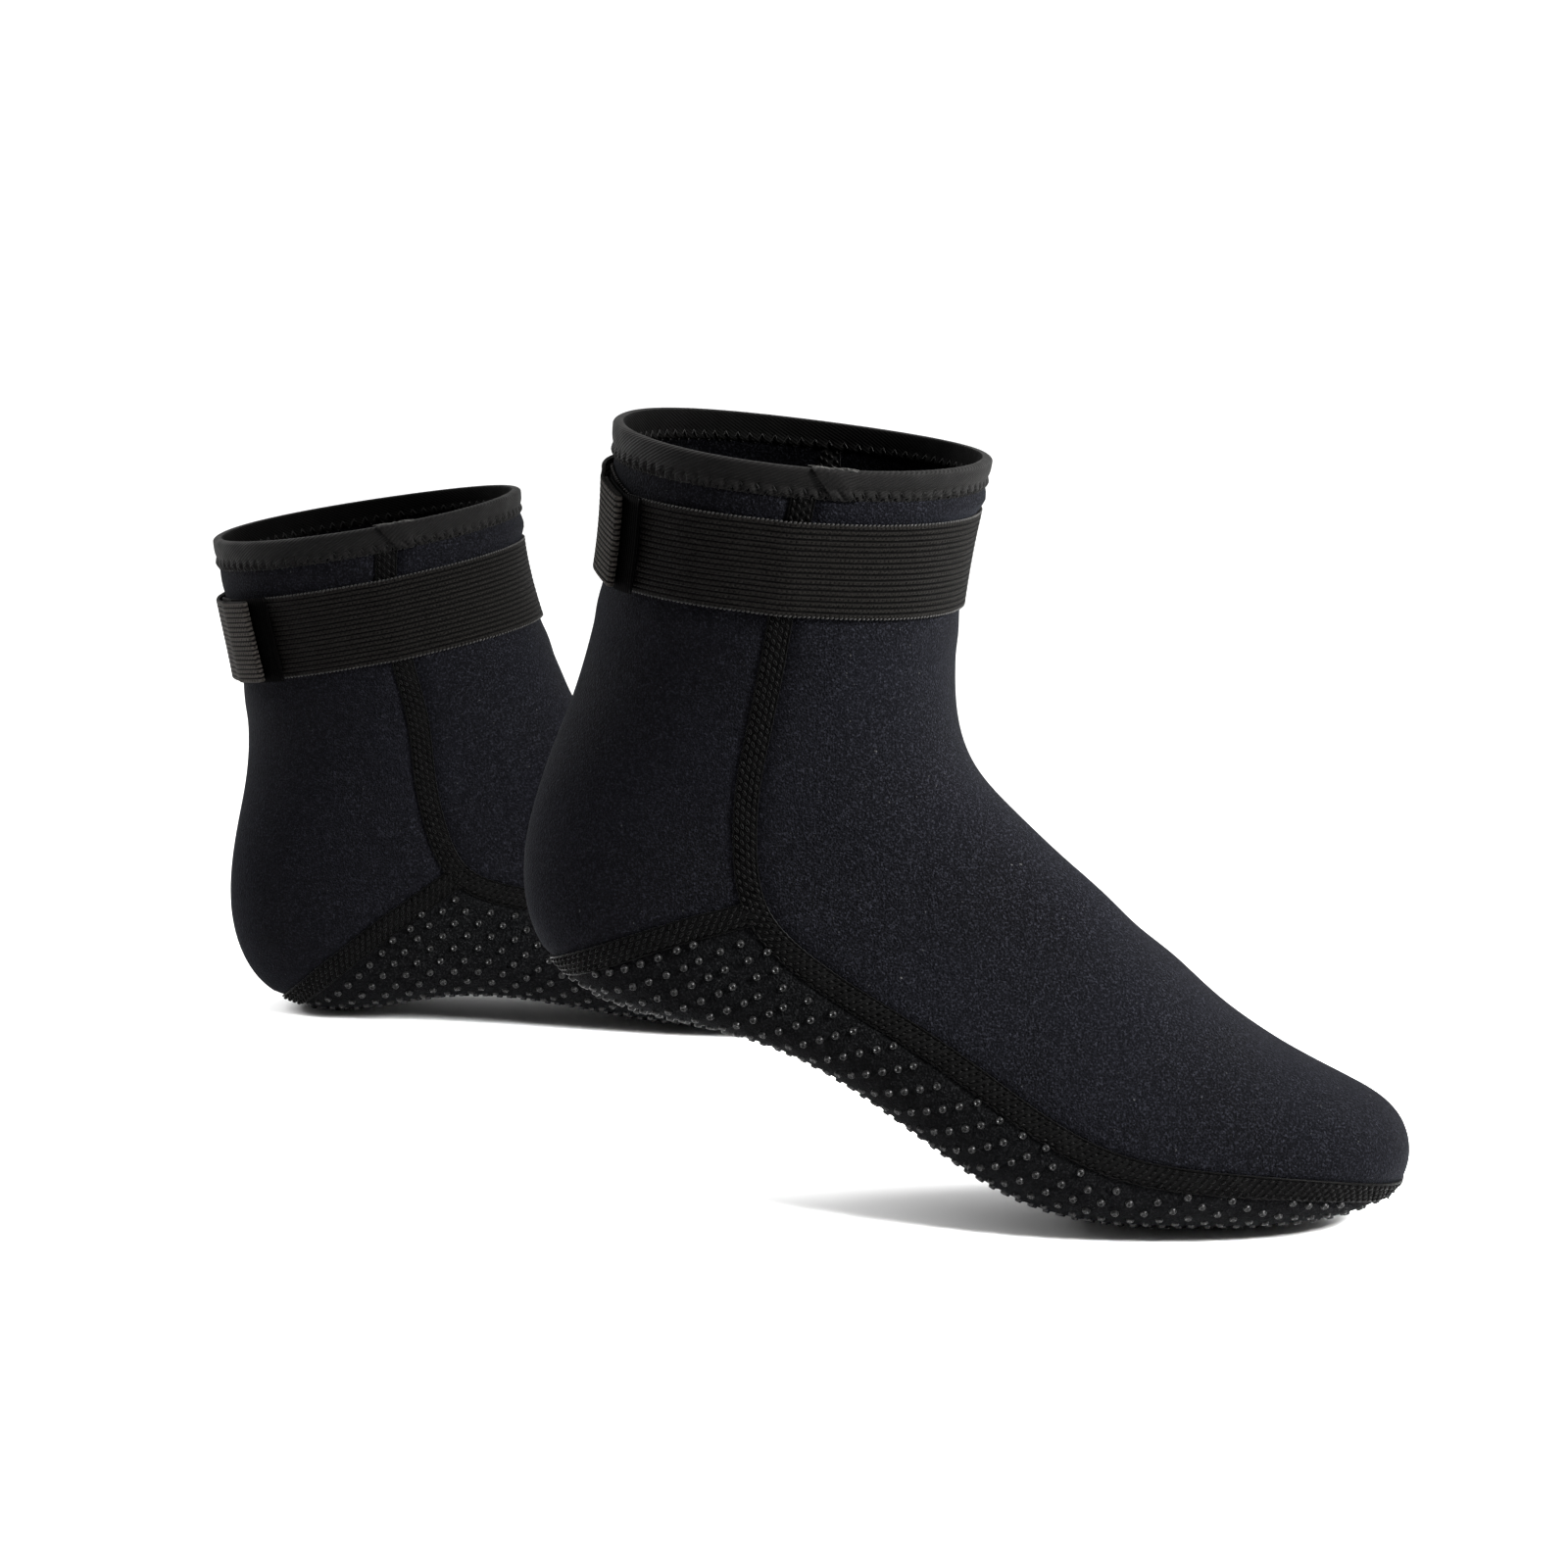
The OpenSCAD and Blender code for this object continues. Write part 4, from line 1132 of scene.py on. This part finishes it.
knit("neoprene", base=0.0016, cool=1.3, sheen=0.012, level=0.012)
knit("sole_fabric", base=0.0013, cool=1.05, sheen=0.004, level=0.01)
# Darker than the outer jersey and without sheen: painted shade inside the shaft
knit("lining_painted_shade", base=0.0004, cool=1.2, sheen=0.0, level=0.0)
tape("binding_tape", base=0.0011, warm=1.06, pitch=0.0008, sheen=0.006)
# A darker copy of the binding tape, without sheen: painted shade on the tape's inner turn
tape("binding_inside_painted_shade", base=0.0004, warm=1.03, pitch=0.0008, sheen=0.0, level=0.01)
yarn("fray", base=0.02, warm=1.02, rough=0.5, level=0.1, sheen=0.02)
tape("seam_tape", base=0.0004, warm=1.0, pitch=0.0009, sheen=0.0, rough=0.85)
yarn("seam_thread", base=0.0005, warm=1.02, rough=0.4, level=0.032, sheen=0.001)
yarn("thread", base=0.0013, warm=1.05, rough=0.55, level=0.06, sheen=0.005)
elastic("elastic", base=0.001, warm=1.08, sheen=0.004)
# A lighter copy of the strap's elastic for the tail: painted light on its fold
elastic("tail_elastic_painted_light", base=0.0057, warm=1.12, sheen=0.008)
yarn("selvedge", base=0.006, warm=1.05, rough=0.5, level=0.15, sheen=0.02)
nylon("hook_tape", base=0.00025, rough=0.6, level=0.004)
# The hooks and the sealed edge: lighter than the tape's back, a painted glint
nylon("hooks_and_edge_painted_glint", base=0.0009, rough=0.4, level=0.03)
knit("loop_tape", base=0.0012, cool=1.0, sheen=0.005, level=0.01)
yarn("loop_pile", base=0.0015, warm=1.0, rough=0.7, level=0.03, sheen=0.01)
rubber("grip_rubber")

# ---- The boots ----

for boot in (RIGHT, LEFT):
    panels(boot)
    seams(boot)
    binding(boot)
    binding_stitching(boot)
    ankle_strap(boot)
    strap_stitching(boot)
    loop_patch(boot)
    strap_tail(boot)
    hook_patch(boot)
    grip_dots(boot)

# ---- Floor, light and camera ----

CENTRE = (CAD_BOX[0] + CAD_BOX[1]) / 2
FLOOR_SIZE = 60.0
# The camera's place, how many degrees it looks down, and its lens in millimetres
CAMERA_SIDE, CAMERA_BACK, CAMERA_UP = 0.0054, 1.703, 0.4013
CAMERA_DOWN, LENS = 10.1, 130.93
# The studio's brightness in front of the boots and low down, and above and behind them
WORLD_FRONT, WORLD_BACK = 0.12, 1.7
WORLD_TOWARDS = (0.1, 0.66, 0.74)
# The ankle's station, and the way from the right boot's ankle to the middle of its foot
ANKLE_T, ANKLE_TO_FOOT = 4.0, (0.045, 0, -0.045)


def floor():
    bpy.ops.mesh.primitive_plane_add(size=FLOOR_SIZE, location=(0, 0, CAD_BOX[0].z))
    plane = bpy.context.object
    plane.name = "floor"
    m = Nodes("floor", Specular_IOR_Level=0.0)
    m.color(m.blend(m.noise(0.8, 1.0), (0.94, 0.94, 0.94, 1), (0.96, 0.96, 0.96, 1)))
    m.roughness(m.range(m.noise(0.3, 2.0), 0, 1, 0.9, 1.0))
    plane.data.materials.append(m.material)


def area_light(name, place, target, size, watts, spread):
    data = bpy.data.lights.new(name, "AREA")
    data.energy, data.shape, data.size = watts, "DISK", size
    data.spread = math.radians(spread)
    lamp = bpy.data.objects.new(name, data)
    lamp.location = place
    lamp.rotation_mode = "QUATERNION"
    lamp.rotation_quaternion = (target - lamp.location).to_track_quat("-Z", "Y")
    bpy.context.scene.collection.objects.link(lamp)


def studio_world():
    """White where the camera looks; the light itself comes from above and behind."""
    world = bpy.data.worlds.new("studio")
    world.use_nodes = True
    tree = world.node_tree
    direction = add_node(tree, "ShaderNodeTexCoord").outputs["Generated"]
    along = add_node(
        tree, "ShaderNodeVectorMath", {0: direction, 1: WORLD_TOWARDS}, operation="DOT_PRODUCT",
    ).outputs["Value"]
    fade = {
        "Value": along, "From Min": -0.35, "From Max": 0.85, "To Min": WORLD_FRONT,
        "To Max": WORLD_BACK,
    }
    strength = add_node(tree, "ShaderNodeMapRange", fade, interpolation_type="SMOOTHSTEP")
    light = tree.nodes["Background"]
    light.inputs["Color"].default_value = (1, 1, 1, 1)
    tree.links.new(strength.outputs["Result"], light.inputs["Strength"])
    backdrop = add_node(tree, "ShaderNodeBackground", {"Color": (1, 1, 1, 1)})
    camera_ray = add_node(tree, "ShaderNodeLightPath").outputs["Is Camera Ray"]
    both = {0: camera_ray, 1: light.outputs[0], 2: backdrop.outputs[0]}
    mix = add_node(tree, "ShaderNodeMixShader", both)
    tree.links.new(mix.outputs[0], tree.nodes["World Output"].inputs["Surface"])
    bpy.context.scene.world = world


def studio():
    """A lamp in front on the right, and one behind each side that edges the boots with light."""
    studio_world()
    ankle = Vector(RIGHT.shell([ANKLE_T, ANKLE_T], [0, 180]).mean(axis=0) * MM)
    foot = ankle + Vector(ANKLE_TO_FOOT)
    for name, place, target, size, watts, spread in (
        ("key", (0.6, -0.36, 0.4), foot, 0.4, 3.6, 38),
        ("left_rim", (-0.9, 0.55, 0.5), CENTRE, 0.5, 12, 180),
        ("right_rim", (0.8, 0.5, 0.35), foot, 0.4, 1.0, 50),
    ):
        area_light(name, ankle + Vector(place), target, size, watts, spread)
    bpy.context.scene.view_settings.view_transform = "Standard"


def camera():
    data = bpy.data.cameras.new("camera")
    data.sensor_width, data.lens = 36, LENS
    data.clip_start, data.clip_end = 0.05, 50
    eye = bpy.data.objects.new("camera", data)
    eye.location = (CAMERA_SIDE, -CAMERA_BACK, CAMERA_UP)
    eye.rotation_euler = (math.radians(90 - CAMERA_DOWN), 0, 0)
    bpy.context.scene.collection.objects.link(eye)
    bpy.context.scene.camera = eye


floor()
studio()
camera()

bpy.context.view_layer.update()
